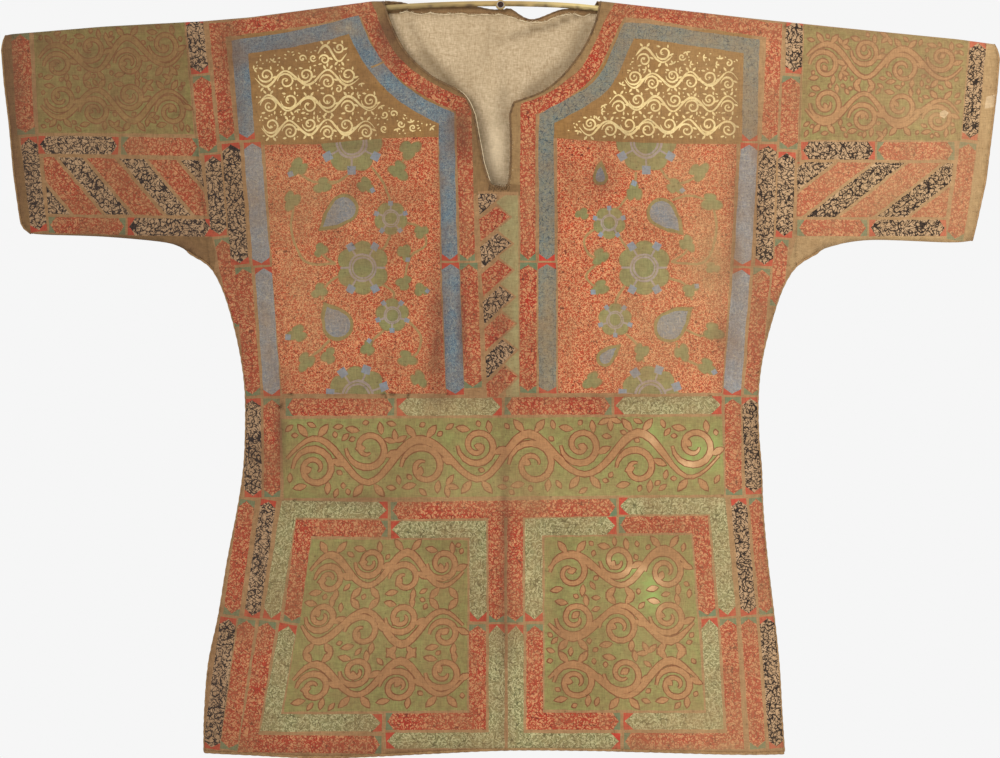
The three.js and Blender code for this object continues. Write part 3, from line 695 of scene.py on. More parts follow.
# Bands with corners: paint, width, pointed start, pointed end, points.
BENT_BANDS = (
    ("pale_band", 16, True, True, ((388, 510), (289, 509), (271.5, 619))),
    ("red_band", 16, True, True, ((388, 528.5), (304, 527.5), (292, 622))),
    ("red_band", 16.5, True, True, ((391, 510.5), (500, 509), (616.3, 506.8))),
    ("red_band", 15, False, True, ((496.2, 512), (496.5, 622))),
    ("red_band", 15, False, True, ((515.2, 512), (515, 622))),
    ("pale_band", 16, True, True, ((391, 529.5), (478, 529), (478, 621))),
    ("pale_band", 16.5, True, True, ((616.3, 525.2), (533.5, 527), (534, 621))),
    ("pale_band", 16, True, True, ((618.6, 506), (717, 505.6), (727.5, 616))),
    ("red_band", 16, True, True, ((618.6, 524.6), (700, 524.2), (707.5, 616))),
    ("red_band", 16.5, True, True, ((268.5, 621), (248.5, 743), (381.5, 744))),
    ("pale_band", 16.5, True, True, ((289, 624), (271, 722), (382, 722))),
    ("red_band", 16, True, True, ((477.5, 624), (477.5, 720.5), (386, 721))),
    ("pale_band", 15, True, True, ((496.7, 624), (496.7, 739.5), (386, 740))),
    ("pale_band", 15, True, True, ((515.7, 624), (515.7, 740), (620, 740.5))),
    ("red_band", 16, True, True, ((534.7, 624), (534.7, 720.5), (620, 720.5))),
    ("pale_band", 15.5, True, True, ((709, 618), (714.5, 720.5), (623.5, 720.5))),
    ("red_band", 15.5, True, True, ((727.5, 618), (735, 740.5), (623.5, 740.5))),
)
# The bands round the neck: paint, width, corners at the shoulder, curve round the neck, end beside the slit.
NECK_BANDS = (
    ("red_band", 14.4, [(228, 141), (217.5, 31), (290, 21), (340, 12.5)],
     ((366, 8), (377, 36), (390.5, 59.5), (406, 75), (425, 88), (447, 99.5), (463.5, 106.5)),
     [(465.3, 170), (467.5, 261)]),
    ("red_band", 14.4, [(769, 142), (774, 31), (690, 19), (650, 12)],
     ((620, 10), (611, 26), (601, 48), (587.6, 71.9), (566.8, 90), (547, 102.5), (528, 109.5)),
     [(527.4, 170), (527.8, 261)]),
    ("blue_band", 14.8, [(247.5, 140), (240, 47.5), (290, 40), (330, 31.5)],
     ((354, 25), (365, 49.5), (381.5, 73), (399.5, 91.5), (421.5, 106.5), (446.5, 118.5)),
     [(447, 143), (449.7, 261)]),
    ("blue_worn", 14.6, [(749, 141.5), (751.5, 47), (690, 38), (650, 32)],
     ((629, 30.5), (620, 50.5), (609.5, 74), (594.6, 91.5), (572.6, 105), (547, 119)),
     [(546, 150), (546.9, 261)]),
)
GOLD_LEFT = (
    (250, 57), (346, 40), (354, 58), (368, 84), (391, 104), (415, 118.5), (436, 124), (437, 132),
    (345, 140), (261, 142.5),
)
GOLD_RIGHT = (
    (636, 43), (740, 57), (738, 141), (620, 138.5), (558, 135), (558, 127.5), (583, 117), (603, 102),
    (619, 80), (629, 60),
)


def straight_bands(painting, rows):
    """Bands with points at both ends, from rows of paint, start, end and width."""
    for paint, a, b, c, d, width in rows:
        band(painting, paint, [(a, b), (c, d)], width)


def green_panel(painting, corners, rows, width, margin, pitch, seed):
    """A green panel filled with outlined scrolls."""
    painting.fill("green_panel", corners)
    scrolls(painting, corners, rows, width, margin, "scroll_line", "scroll_fill", pitch, 1.0, seed)


def paint_sleeves(painting):
    painting.fill("brown", [(-5, 25), (13, 30), (19, 134), (32, 226), (36, 246), (-5, 246)])
    painting.fill("tan_edge", [(1006, 30), (986, 40), (978, 140), (964, 240), (960, 250), (1006, 250)])
    painting.fill("brown", [(40, 233.5), (212, 236.5), (216, 252), (214, 275), (150, 250), (40, 245)])
    painting.fill("tan_edge", [(964, 236), (796, 236.5), (789, 262), (795, 280), (850, 250), (964, 250)])
    left = [(34, 31), (184, 21), (194.5, 134.5), (39, 133)]
    right = [(804, 25), (968, 41), (960, 141), (800, 140)]
    for corners, filling, seed in ((left, "scroll_faint", 3), (right, "scroll_fill", 4)):
        painting.fill("sleeve_panel", corners)
        scrolls(painting, corners, 2, 4.2, 4, "scroll_line", filling, 40, 1.15, seed)
    stripes(painting, [(43.8, 157), (201, 161), (208, 216), (49, 214)], 58, 60, 50, 24, 4.2)
    stripes(painting, [(797, 162.5), (953, 163.5), (945, 217.5), (796, 217)], 805, 71, -71, 29, 4.6)
    painting.fill("pale_patch", [(986, 97), (998, 94), (997, 107), (984, 109)], 3)
    painting.fill("pale_patch", [(939, 113), (944, 110), (948, 113), (944, 119), (940, 117)], 2)


def paint_lower_body(painting):
    green_panel(painting, [(282, 419), (722, 416.5), (724, 494.5), (284, 498)], 1, 6.2, 4, 54, 11)
    green_panel(painting, [(312, 539), (467.5, 540), (467.5, 710), (284, 711)], 3, 5.8, 4, 46, 21)
    green_panel(painting, [(544.5, 537), (691, 534.5), (704, 710), (544.5, 709)], 3, 5.8, 4, 46, 22)
    straight_bands(painting, WAIST_BANDS)
    for paint, width, start, end, points in BENT_BANDS:
        band(painting, paint, list(points), width, start, end)


def paint_centre_strip(painting):
    """Slanting blocks below the slit, black and red in turn, in a pale rim on a green strip."""
    centre = [(478, 192), (518.5, 192), (519.3, 397), (485, 397)]
    rim_shifts = ((-2, -2), (0.5, -2.8), (3, 0.4), (-2, 3))
    painting.fill("ground", centre)
    painting.fill("pale_green", [(496.5, 195.5), (518, 195.5), (519, 396.5), (506.5, 396.5)])
    for k in range(8):
        drift, left, right = 1.25 * (k - 1), 27.4 * (k - 1), 26.6 * (k - 1)
        block = [(479.1 + drift, 219.8 + left), (496 + drift, 206.8 + right), (509.8 + drift, 216.7 + right),
                 (480.7 + drift, 242 + left)]
        rim = [(u + du, v + dv) for (u, v), (du, dv) in zip(block, rim_shifts)]
        window = [(478, 194), (496.5, 194), (496.5, 220), (478, 220)] if k == 0 else centre
        painting.fill("ground", clip(rim, centre))
        painting.fill("black_band" if k % 2 == 0 else "red_band", clip(block, window))


def paint_front():
    painting = Painting()
    painting.fill("brown", [(358, -10), (366, 30), (384, 62), (410, 86), (450, 106), (458, 120), (468, 196),
                            (486, 190), (530, 196), (522, 112), (560, 96), (590, 72), (606, 46), (618, -10)])
    paint_sleeves(painting)
    painting.fill("field", [(265, 137), (438, 136), (441, 300), (446, 393.5), (282, 394), (271, 250)])
    florals(painting, 250, 450)
    painting.fill("field", [(557, 137), (737, 137), (731, 250), (722, 393), (558, 393)])
    florals(painting, 550, 740)
    painting.fill("gold_ground", [(240, 30), (440, 30), (440, 137.5), (384, 138.5), (318, 144.5),
                                  (250, 145.5)])
    painting.fill("gold_ground", [(552, 30), (752, 30), (742, 144.5), (690, 144.5), (600, 141.5),
                                  (552, 138.5)])
    painting.fill("ground", [(276, 394), (480, 394), (480, 500), (276, 500)])
    painting.fill("ground", [(518, 394), (730, 393.5), (730, 500), (518, 500)])
    painting.fill("brown", [(372, -10), (378, 25), (398, 62), (420, 82), (458, 100), (466, 116), (476, 196),
                            (484, 192), (520, 196), (518, 112), (556, 93), (584, 70), (600, 46), (612, -10)])
    painting.fill("neck_edge", [(506, 184), (504, 108), (544, 84), (574, 60), (588, 36), (598, -10),
                                (640, -10), (606, 60), (590, 84), (560, 104), (528, 118), (532, 186)])
    for corners, seed in ((GOLD_LEFT, 31), (GOLD_RIGHT, 32)):
        painting.fill("gold_ground", list(corners))
        scrolls(painting, list(corners), 4, 2.1, 1.5, None, "gold", 19, 0, seed)
    straight_bands(painting, SIDE_BANDS + CHEST_BANDS)
    paint_lower_body(painting)
    for paint, width, shoulder, bend, end in NECK_BANDS:
        band(painting, paint, shoulder + curve(bend, 5) + end, width)
    painting.fill("vine", ribbon([(371.5, 68), (384, 62)], 1.0))
    paint_centre_strip(painting)
    return painting


def paint_back():
    """The back repeats the front's borders, round one tall panel with no opening."""
    painting = Painting()
    paint_sleeves(painting)
    painting.fill("brown", [(380, -10), (386, 14), (470, 20), (540, 30), (600, 14), (606, -10)])
    green_panel(painting, [(262, 66), (740, 64), (736, 141), (266, 143)], 1, 5.6, 5, 56, 41)
    painting.fill("field", [(271, 164), (727, 163), (718, 393), (284, 394)])
    florals(painting, 0, 500, 10.4, 8, 184, 372, 10, False)
    florals(painting, 500, 1000, -9.6, 8, 184, 372, 10, False)
    flower(painting, 499, 234, 32, 0.5)
    flower(painting, 499, 330, 32, 0.5)
    between = ((499, 186, 16, -1.57), (470, 282, 15, 3.1), (528, 282, 15, 0), (499, 378, 15, 1.57))
    for u, v, size, turn in between:
        trefoil(painting, u, v, size, turn)
    straight_bands(painting, SIDE_BANDS)
    band(painting, "red_band", [(228, 141), (217.5, 33), (380, 13)], 17)
    band(painting, "red_band", [(769, 142), (773, 35), (612, 16)], 17)
    over_shoulders = [(247.5, 140), (241, 54), (400, 36), (560, 36), (751, 54), (749, 141.5)]
    band(painting, "blue_band", over_shoulders, 16.5)
    band(painting, "black_band", [(272, 153), (498, 152.5)], 15)
    band(painting, "black_band", [(501, 152.5), (728, 152)], 15)
    paint_lower_body(painting)
    return painting


# ---------- Wear, as soft patches: u, v, reach in u, reach in v, amount ----------
STAINS = (
    (46, 46, 12, 12, 0.6), (58, 62, 12, 8, 0.5), (88, 60, 10, 15, 0.6), (97, 108, 17, 8, 0.6),
    (118, 98, 9, 9, 0.5), (182, 100, 5, 26, 0.55), (150, 28, 40, 5, 0.5), (128, 44, 12, 10, 0.4),
    (165, 60, 6, 20, 0.4), (6, 130, 20, 150, 1.1), (229, 205, 9, 60, 0.3), (253, 450, 8, 46, 0.34),
    (260, 556, 9, 56, 0.34), (219, 684, 9, 62, 0.5), (32, 185, 8, 46, 0.3), (184, 228, 34, 7, 0.3),
    (388, 38, 15, 24, 1.0), (399, 58, 13, 12, 0.85), (464, 136, 11, 26, 1.0), (262, 455, 6, 50, 0.45),
    (459.5, 200, 3, 70, 0.3), (440, 190, 3, 60, 0.5), (536, 200, 3, 70, 0.4), (557, 220, 3, 70, 0.35),
    (505, 440, 8, 60, 0.4), (505, 680, 7, 60, 0.4), (290, 396, 60, 4, 0.4), (20, 60, 30, 60, 0.3),
    (110, 70, 70, 60, 0.3), (190, 250, 34, 22, 0.6), (232, 60, 12, 40, 0.65), (238, 110, 8, 40, 0.45),
    (300, 49, 60, 6, 0.5), (240, 230, 16, 60, 0.3), (386, 35, 12, 20, 1.0), (400, 62, 12, 12, 0.7),
    (432, 92, 20, 8, 0.35), (458, 134, 12, 24, 0.8), (438, 335, 11, 70, 0.9), (440, 330, 5, 60, 1.0),
    (462, 325, 5, 66, 0.85), (440, 255, 8, 40, 0.5), (440, 398, 26, 8, 0.6), (281, 430, 6, 46, 0.85),
    (350, 500, 60, 6, 0.55), (440, 540, 40, 20, 0.3), (500, 330, 16, 90, 0.5), (505, 560, 5, 190, 0.65),
    (500, 214, 22, 50, 0.3), (355, 186, 14, 18, 0.5), (330, 230, 16, 30, 0.35), (734, 230, 7, 130, 0.6),
    (756, 220, 5, 120, 0.45), (722, 340, 8, 56, 0.6), (600, 182, 14, 18, 0.6), (563, 165, 18, 22, 0.35),
    (810, 250, 34, 18, 0.3), (238, 420, 14, 80, 0.3), (762, 430, 14, 90, 0.25), (204, 700, 12, 70, 0.45),
    (230, 620, 20, 14, 0.3), (500, 752, 300, 8, 0.55), (400, 180, 30, 60, 0.18), (640, 140, 100, 8, 0.3),
    (360, 146, 90, 7, 0.4), (570, 398, 150, 5, 0.4), (380, 690, 60, 40, 0.25), (560, 625, 8, 80, 0.3),
    (205, 200, 10, 60, 0.3), (120, 236, 80, 6, 0.45), (150, 100, 40, 40, 0.2), (240, 350, 10, 60, 0.3),
    (270, 60, 40, 8, 0.45), (362, 60, 10, 30, 0.35), (100, 24, 100, 8, 0.5), (850, 30, 120, 8, 0.25),
    (300, 12, 80, 6, 0.45), (690, 12, 80, 6, 0.2), (931, 72, 16, 20, 0.45), (890, 118, 12, 16, 0.35),
    (40, 40, 10, 20, 0.5), (36, 100, 5, 60, 0.4), (190, 50, 8, 50, 0.4), (268, 45, 30, 10, 0.4),
)
FADES = (
    (708, 262, 26, 60, 0.6), (547, 335, 7, 62, 0.45), (528, 200, 7, 60, 0.25), (468, 218, 6, 44, 0.25),
    (690, 175, 40, 30, 0.25), (300, 200, 60, 50, 0.25), (650, 330, 60, 60, 0.3), (345, 620, 80, 70, 0.2),
    (640, 620, 70, 80, 0.2), (700, 90, 60, 60, 0.15), (100, 90, 60, 60, 0.2), (330, 12, 50, 10, 0.35),
    (520, 490, 120, 20, 0.35), (530, 620, 20, 90, 0.25), (700, 720, 50, 20, 0.35), (440, 405, 50, 10, 0.3),
    (930, 115, 30, 12, 0.35), (350, 30, 14, 8, 0.55), (256, 200, 9, 70, 0.2), (268, 335, 9, 70, 0.2),
    (430, 409, 60, 9, 0.4), (700, 746, 90, 4, 0.6), (876, 190, 78, 24, 0.26), (990, 180, 14, 70, 0.3),
    (305, 300, 30, 60, 0.25),
)
FRESH = (
    (652, 594, 9, 15, 0.95), (634, 570, 14, 5, 0.75), (646, 580, 20, 5, 0.7), (688, 463, 9, 8, 0.95),
    (698, 452, 6, 10, 0.8), (712, 450, 9, 18, 0.75), (652, 437, 8, 10, 0.6), (612, 560, 8, 5, 0.5),
)
BACK_STAINS = 0.55  # amount of the stains on the back, where the paint has no fresh places


def patches(table, x, z):
    """The strongest patch of a table at each point."""
    amount = np.zeros(x.shape)
    for u, v, reach_u, reach_v, strength in table:
        cx, cz = at_sheet(u, v)
        amount = np.maximum(amount, strength * np.exp(-((x - cx) / reach_u) ** 2 - ((z - cz) / reach_v) ** 2))
    return amount


# ---------- Meshes of cloth ----------
def cuff_points(hand):
    """Down the left cuff for hand 1 and the right one for hand 2, the columns of CUFFS."""
    armpit = UNDERARM_LEFT if hand == 1 else UNDERARM_RIGHT
    made = []
    for share in np.linspace(0, 1, CUFF_POINTS):
        x = float(read(CUFFS, share, hand))
        top, low = float(crest_middle(x)), armpit[0][1]
        made.append((x, top + (low - top) * share))
    return made


def crest_points(x0, x1):
    """Along the top of the cloth, which is its fold."""
    count = max(2, round(abs(x1 - x0) / GRID))
    return [(x, float(crest_middle(x))) for x in np.linspace(x0, x1, count + 1)]


def neck_front():
    """From the right shoulder down to the foot of the slit and up to the left shoulder."""
    right = curve(NECK_RIGHT, 4)[::-1]
    slit = curve(SLIT, 3)[::-1]
    left = curve(NECK_LEFT, 4)[::-1]
    return right + slit + left


def neck_back():
    return curve(NECK_BACK, 4)[::-1]


def whole_outline(neck):
    """Down the left cuff, round the hem, up the right cuff and back along the top and the neck."""
    left_cuff, right_cuff = cuff_points(1), cuff_points(2)
    outline = left_cuff + LEFT_EDGE[1:-1] + curve(HEM, GRID) + RIGHT_EDGE[-2:0:-1] + right_cuff[::-1]
    outline += crest_points(right_cuff[0][0], neck[0][0])[1:-1]
    outline += neck
    outline += crest_points(neck[-1][0], left_cuff[0][0])[1:-1]
    return outline


def inside(outline, x, z):
    """Which points lie inside an outline."""
    within = np.zeros(x.shape, bool)
    for (ax, az), (bx, bz) in zip(outline, outline[1:] + outline[:1]):
        if az != bz:
            crosses = (az > z) != (bz > z)
            within ^= crosses & (x < (bx - ax) * (z - az) / (bz - az) + ax)
    return within


def flat_mesh(outline, shapes, spacing, lines=(), fold_rows=True):
    """Triangles over an outline that follow every painted edge: the points, and rows of triangle, paint."""
    x0, x1 = min(p[0] for p in outline), max(p[0] for p in outline)
    z0, z1 = min(p[1] for p in outline), max(p[1] for p in outline)
    points, faces, edges = [], [], []
    for loop in [outline] + [shape for _, shape in shapes]:
        if signed_area(loop) < 0:
            loop = loop[::-1]
        faces.append(list(range(len(points), len(points) + len(loop))))
        points += loop
    for line in lines:
        edges += [(len(points) + i, len(points) + i + 1) for i in range(len(line) - 1)]
        points += line
    taken = {(round(x / CLEAR), round(z / CLEAR)) for x, z in points}
    grid = []
    if fold_rows:
        for x in np.arange(x0, x1, GRID):
            crest = float(crest_middle(x))
            grid += [(x, crest - down) for down in FOLD_STEPS]
    start = len(grid)
    columns, rows = int((x1 - x0) / spacing), int((z1 - z0) / (spacing * ROW_SHARE))
    for j in range(1, rows):
        for i in range(1, columns):
            x = x0 + (i + 0.5 * (j % 2)) * spacing + rng.uniform(-0.5, 0.5)
            z = z1 - j * spacing * ROW_SHARE + rng.uniform(-0.5, 0.5)
            free = (round(x / CLEAR), round(z / CLEAR)) not in taken
            if free and (not fold_rows or z < crest_middle(x) - FOLD_RADIUS - 2.5):
                grid.append((x, z))
    gx, gz = np.array([p[0] for p in grid]), np.array([p[1] for p in grid])
    keep = inside(outline, gx, gz)
    margin = np.where(np.arange(len(grid)) < start, 0.8, 2.2)
    far = distance_to_lines(gx, gz, [outline + outline[:1]]) > margin
    points += [grid[i] for i in np.nonzero(keep & far)[0]]
    result = delaunay_2d_cdt([Vector(p) for p in points], edges, faces, 0, 1e-4, True)
    flat = np.array([(p[0], p[1]) for p in result[0]])
    rows = []
    for triangle, owners in zip(result[2], result[5]):
        if 0 in owners:
            top = max(owners)
            rows.append((tuple(triangle), shapes[top - 1][0] if top else "ground"))
    return flat, rows


def make_object(name, vertices, faces, materials, indices=None, wear_and_painted_light=None):
    """A smooth mesh in the scene. indices say the material of each face."""
    mesh = bpy.data.meshes.new(name)
    mesh.from_pydata([tuple(v) for v in np.asarray(vertices) * MM], [], [tuple(f) for f in faces])
    for material in materials:
        mesh.materials.append(material)
    mesh.polygons.foreach_set("use_smooth", [True] * len(mesh.polygons))
    if indices is not None:
        mesh.polygons.foreach_set("material_index", indices)
    if wear_and_painted_light is not None:
        attribute = mesh.attributes.new("wear_and_painted_light", "FLOAT_COLOR", "POINT")
        attribute.data.foreach_set("color", np.asarray(wear_and_painted_light, dtype=np.float32).ravel())
    mesh.update()
    made = bpy.data.objects.new(name, mesh)
    bpy.context.scene.collection.objects.link(made)
    return made


def shell(name, middle, triangles, paints, thickness, inside_paint, wear_and_painted_light):
    """A thin closed shell on a middle surface: painted outside, plain inside and at its edges."""
    middle = np.asarray(middle, dtype=float)
    triangles = np.asarray(triangles)
    a, b, c = (middle[triangles[:, i]] for i in range(3))
    face_normal = np.cross(b - a, c - a)
    normal = np.zeros(middle.shape)
    for i in range(3):
        np.add.at(normal, triangles[:, i], face_normal)
    normal /= np.maximum(np.linalg.norm(normal, axis=1, keepdims=True), 1e-9)
    count = len(middle)
    vertices = np.concatenate([middle + normal * thickness / 2, middle - normal * thickness / 2])
    faces = [tuple(t) for t in triangles] + [(t[2] + count, t[1] + count, t[0] + count) for t in triangles]
    directed = {}
    for t in triangles:
        for p, q in ((t[0], t[1]), (t[1], t[2]), (t[2], t[0])):
            directed[(p, q)] = True
    rim = [(p, q) for p, q in directed if (q, p) not in directed]
    for p, q in rim:
        faces += [(q, p, p + count), (q, p + count, q + count)]
    used = sorted(set(paints) | {inside_paint})
    slot = {paint: i for i, paint in enumerate(used)}
    indices = [slot[p] for p in paints] + [slot[inside_paint]] * (len(triangles) + 2 * len(rim))
    wear_and_painted_light = np.concatenate([wear_and_painted_light, wear_and_painted_light])
    return make_object(name, vertices, faces, [PALETTE[p] for p in used], indices, wear_and_painted_light)


def weld(points, triangles, paints, wear_and_painted_light, reach=0.02):
    """Joins points that lie within reach of each other and drops the triangles that vanish."""
    keys, kept, index = {}, [], []
    for i, p in enumerate(points):
        key = tuple(np.round(p / reach).astype(int))
        if key not in keys:
            keys[key] = len(kept)
            kept.append(i)
        index.append(keys[key])
    welded = [(index[a], index[b], index[c]) for a, b, c in triangles]
    good = [i for i, t in enumerate(welded) if len(set(t)) == 3]
    return points[kept], [welded[i] for i in good], [paints[i] for i in good], wear_and_painted_light[kept]


def compact(points, triangles, wear_and_painted_light):
    """Keeps only the points that the triangles use."""
    used = sorted({i for t in triangles for i in t})
    index = {old: new for new, old in enumerate(used)}
    return points[used], [tuple(index[i] for i in t) for t in triangles], wear_and_painted_light[used]


def cloth_side(painting, neck, form):
    """One side of the shirt on its form, split at the armholes into left sleeve, body and right sleeve."""
    lines = []
    for armhole in (ARMHOLE_LEFT, ARMHOLE_RIGHT):
        line = resample(armhole, GRID)
        line[0] = (line[0][0], float(crest_middle(line[0][0])))
        lines.append(line)
    flat, rows = flat_mesh(whole_outline(neck), painting.shapes, GRID, lines)
    x, z = flat[:, 0], flat[:, 1]
    points = np.column_stack([x, surface(x, z, form), z])
    wear_and_painted_light = np.column_stack([patches(table, x, z) for table in (STAINS, FADES, FRESH)] + [np.ones(x.shape)])
    if form is BACK:
        wear_and_painted_light[:, 0] *= BACK_STAINS
        wear_and_painted_light[:, 2] = 0
    parts = {"left": ([], []), "body": ([], []), "right": ([], [])}
    for triangle, paint in rows:
        cx, cz = flat[list(triangle)].mean(axis=0)
        where = "body"
        if cz > ARMPIT and cx < read(ARMHOLE_LEFT, cz, 0, 1):
            where = "left"
        elif cz > ARMPIT and cx > read(ARMHOLE_RIGHT, cz, 0, 1):
            where = "right"
        parts[where][0].append(triangle[::-1] if form is BACK else triangle)
        parts[where][1].append(paint)
    closed = points.copy()
    closed[distance_to_lines(x, z, PINCHED) < 0.05, 1] = 0
    return {key: (points if key == "body" else closed, triangles, paints, wear_and_painted_light)
            for key, (triangles, paints) in parts.items()}


def tube(vertices, faces, path, radius, sides, closed):
    """Adds a round cord on points. radius is a number or a function of the share of the way along."""
    path = [Vector(p) for p in path]
    rings = len(path)
    last = rings - 1
    base = len(vertices)
    up = Vector((0, 0, 1))
    for i, p in enumerate(path):
        before = path[i - 1] if closed or i else path[0]
        after = path[(i + 1) % rings] if closed or i < last else path[last]
        along = (after - before).normalized()
        across = along.cross(up)
        if across.length < 0.05:
            across = along.cross(Vector((0, 1, 0)))
        across.normalize()
        up = across.cross(along).normalized()
        r = radius(i / max(1, last)) if callable(radius) else radius
        for k in range(sides):
            angle = 2 * math.pi * k / sides
            vertices.append(tuple(p + (across * math.cos(angle) + up * math.sin(angle)) * r))
    for i in range(rings if closed else last):
        here, there = base + i * sides, base + (i + 1) % rings * sides
        for k in range(sides):
            following = (k + 1) % sides
            faces.append((here + k, there + k, there + following, here + following))
    if not closed:
        faces.append(tuple(base + k for k in range(sides)))
        faces.append(tuple(base + last * sides + k for k in reversed(range(sides))))


def cords(name, lines, radius, material, closed=False, sides=6):
    """One piece of round cords, one on each line of points."""
    vertices, faces = [], []
    for line in lines:
        tube(vertices, faces, line, radius, sides, closed)
    return make_object(name, vertices, faces, [material])


# ---------- Materials ----------
def rgb(*shades):
    """A colour given in red, green and blue from 0 to 255."""
    return (*(((c / 255 + 0.055) / 1.055) ** 2.4 if c > 10 else c / 255 / 12.92 for c in shades), 1)


class Shade:
    """A material's node tree, with short names for the nodes used most."""

    def __init__(self, name, tree=None):
        if tree is None:
            self.material = bpy.data.materials.new(name)
            self.material.use_nodes = True
            tree = self.material.node_tree
            self.surface = tree.nodes["Principled BSDF"]
        self.tree = tree

    def node(self, kind, inputs=None, **settings):
        made = self.tree.nodes.new(kind)
        for key, value in settings.items():
            setattr(made, key, value)
        for key, value in (inputs or {}).items():
            if isinstance(value, bpy.types.NodeSocket):
                self.tree.links.new(value, made.inputs[key])
            else:
                made.inputs[key].default_value = value
        return made

    def math(self, operation, a, b=0.0):
        return self.node("ShaderNodeMath", {0: a, 1: b}, operation=operation).outputs[0]

    def mix(self, share, a, b, mode="MIX"):
        made = self.node("ShaderNodeMix", {0: share, 6: a, 7: b}, data_type="RGBA", blend_type=mode)
        return made.outputs[2]

    def ramp(self, value, low, high, to_low=0.0, to_high=1.0):
        made = self.node("ShaderNodeMapRange", {0: value, 1: low, 2: high, 3: to_low, 4: to_high})
        return made.outputs[0]

    def where(self, scale=(1, 1, 1)):
        coordinates = self.node("ShaderNodeTexCoord").outputs["Object"]
        return self.node("ShaderNodeMapping", {"Vector": coordinates, "Scale": scale}).outputs[0]

    def noise(self, scale, detail=2.0, vector=None, rough=0.5):
        vector = vector or self.where()
        inputs = {"Vector": vector, "Scale": scale, "Detail": detail, "Roughness": rough}
        return self.node("ShaderNodeTexNoise", inputs).outputs["Fac"]

    def split(self, vector):
        return self.node("ShaderNodeSeparateXYZ", {0: vector}).outputs

    def vectors(self, operation, *inputs):
        return self.node("ShaderNodeVectorMath", dict(enumerate(inputs)), operation=operation).outputs[0]

    def flat(self, seed):
        """Place across and up the cloth, without its depth, moved by a seed."""
        place = self.split(self.node("ShaderNodeTexCoord").outputs["Object"])
        across, up = self.math("ADD", place[0], seed), self.math("ADD", place[2], seed * 0.71)
        return self.node("ShaderNodeCombineXYZ", {0: across, 1: up}).outputs[0]

    def flat_noise(self, scale, vector, detail=0.0, output="Fac"):
        inputs = {"Vector": vector, "Scale": scale, "Detail": detail}
        return self.node("ShaderNodeTexNoise", inputs, noise_dimensions="2D").outputs[output]

    def bent(self, scale, seed, reach):
        """The same place, bent by a soft noise."""
        place = self.flat(seed)
        bend = self.vectors("SUBTRACT", self.flat_noise(scale * 0.7, place, 1.0, "Color"), (0.5, 0.5, 0))
        return self.vectors("MULTIPLY_ADD", bend, (reach / scale, reach / scale, 0), place)

    def line(self, scale, thick, seed):
        """Long curving pen lines of an even width: one level of a soft noise."""
        value = self.flat_noise(scale, self.bent(scale, seed, 0.9))
        away = self.math("ABSOLUTE", self.math("SUBTRACT", value, 0.5))
        return self.ramp(away, thick + 0.02, thick)

    def curl(self, scale, thick, seed):
        """Small open hooks, each turned at random: arcs round scattered points."""
        place = self.bent(scale, seed, 0.7)
        cells = self.node("ShaderNodeTexVoronoi", {"Vector": place, "Scale": scale, "Randomness": 0.85},
                          voronoi_dimensions="2D").outputs
        chance = self.node("ShaderNodeSeparateColor", {0: cells["Color"]}).outputs
        local = self.split(self.vectors("SUBTRACT", place, cells["Position"]))
        turn = self.math("DIVIDE", self.math("ARCTAN2", local[1], local[0]), 2 * math.pi)
        turn = self.math("FRACT", self.math("ADD", self.math("ADD", turn, chance[0]), 1.0))
        radius = self.math("ADD", self.math("MULTIPLY", chance[1], 0.16), 0.2)
        away = self.math("ABSOLUTE", self.math("SUBTRACT", cells["Distance"], radius))
        opening = self.math("ADD", self.math("MULTIPLY", chance[2], 0.3), 0.2)
        shown = self.math("GREATER_THAN", turn, opening)
        return self.math("MULTIPLY", self.ramp(away, thick + 0.06, thick), shown)

    def drawn(self, colour, marks, strength=1.0):
        """The colour with strokes over it: rows of kind, colour, scale, thickness and seed."""
        for kind, tint, scale, thick, seed in marks:
            strokes = self.line(scale, thick, seed) if kind == "line" else self.curl(scale, thick, seed)
            if strength < 1:
                strokes = self.math("MULTIPLY", strokes, strength)
            colour = self.mix(strokes, colour, rgb(*tint))
        return colour

    def wear_and_painted_light(self):
        """The three amounts that every cloth mesh carries: on the cotton stain, fading and fresh paint; on
        the lining painted shade along its folds, painted light inside the slit and nothing.
        """
        carried = self.node("ShaderNodeAttribute", attribute_name="wear_and_painted_light", attribute_type="GEOMETRY")
        return self.node("ShaderNodeSeparateColor", {"Color": carried.outputs["Color"]}).outputs

    def weave(self, scale, detail, squeeze, rough=0.5):
        """Threads both ways: two noises, each drawn out along the other's threads."""
        across = self.noise(scale, detail, self.where((1, 1, squeeze)), rough)
        along = self.noise(scale, detail, self.where((squeeze, 1, 1)), rough)
        return self.math("ADD", self.math("MULTIPLY", across, 0.5), self.math("MULTIPLY", along, 0.5))

    def brighten(self, colour, amount):
        grey = self.node("ShaderNodeCombineColor", {0: amount, 1: amount, 2: amount}).outputs[0]
        return self.mix(1.0, colour, grey, "MULTIPLY")

    def finish(self, colour, rough, height, bump, deep, specular=0.5, metal=0.0):
        """Gives the surface its colour, its gloss and a bump of a height, and returns the material."""
        inputs = self.surface.inputs
        self.tree.links.new(colour, inputs["Base Color"])
        for key, value in (("Roughness", rough), ("Specular IOR Level", specular), ("Metallic", metal)):
            inputs[key].default_value = value
        rise = self.node("ShaderNodeBump", {"Height": height, "Strength": bump, "Distance": deep})
        self.tree.links.new(rise.outputs[0], inputs["Normal"])
        return self.material


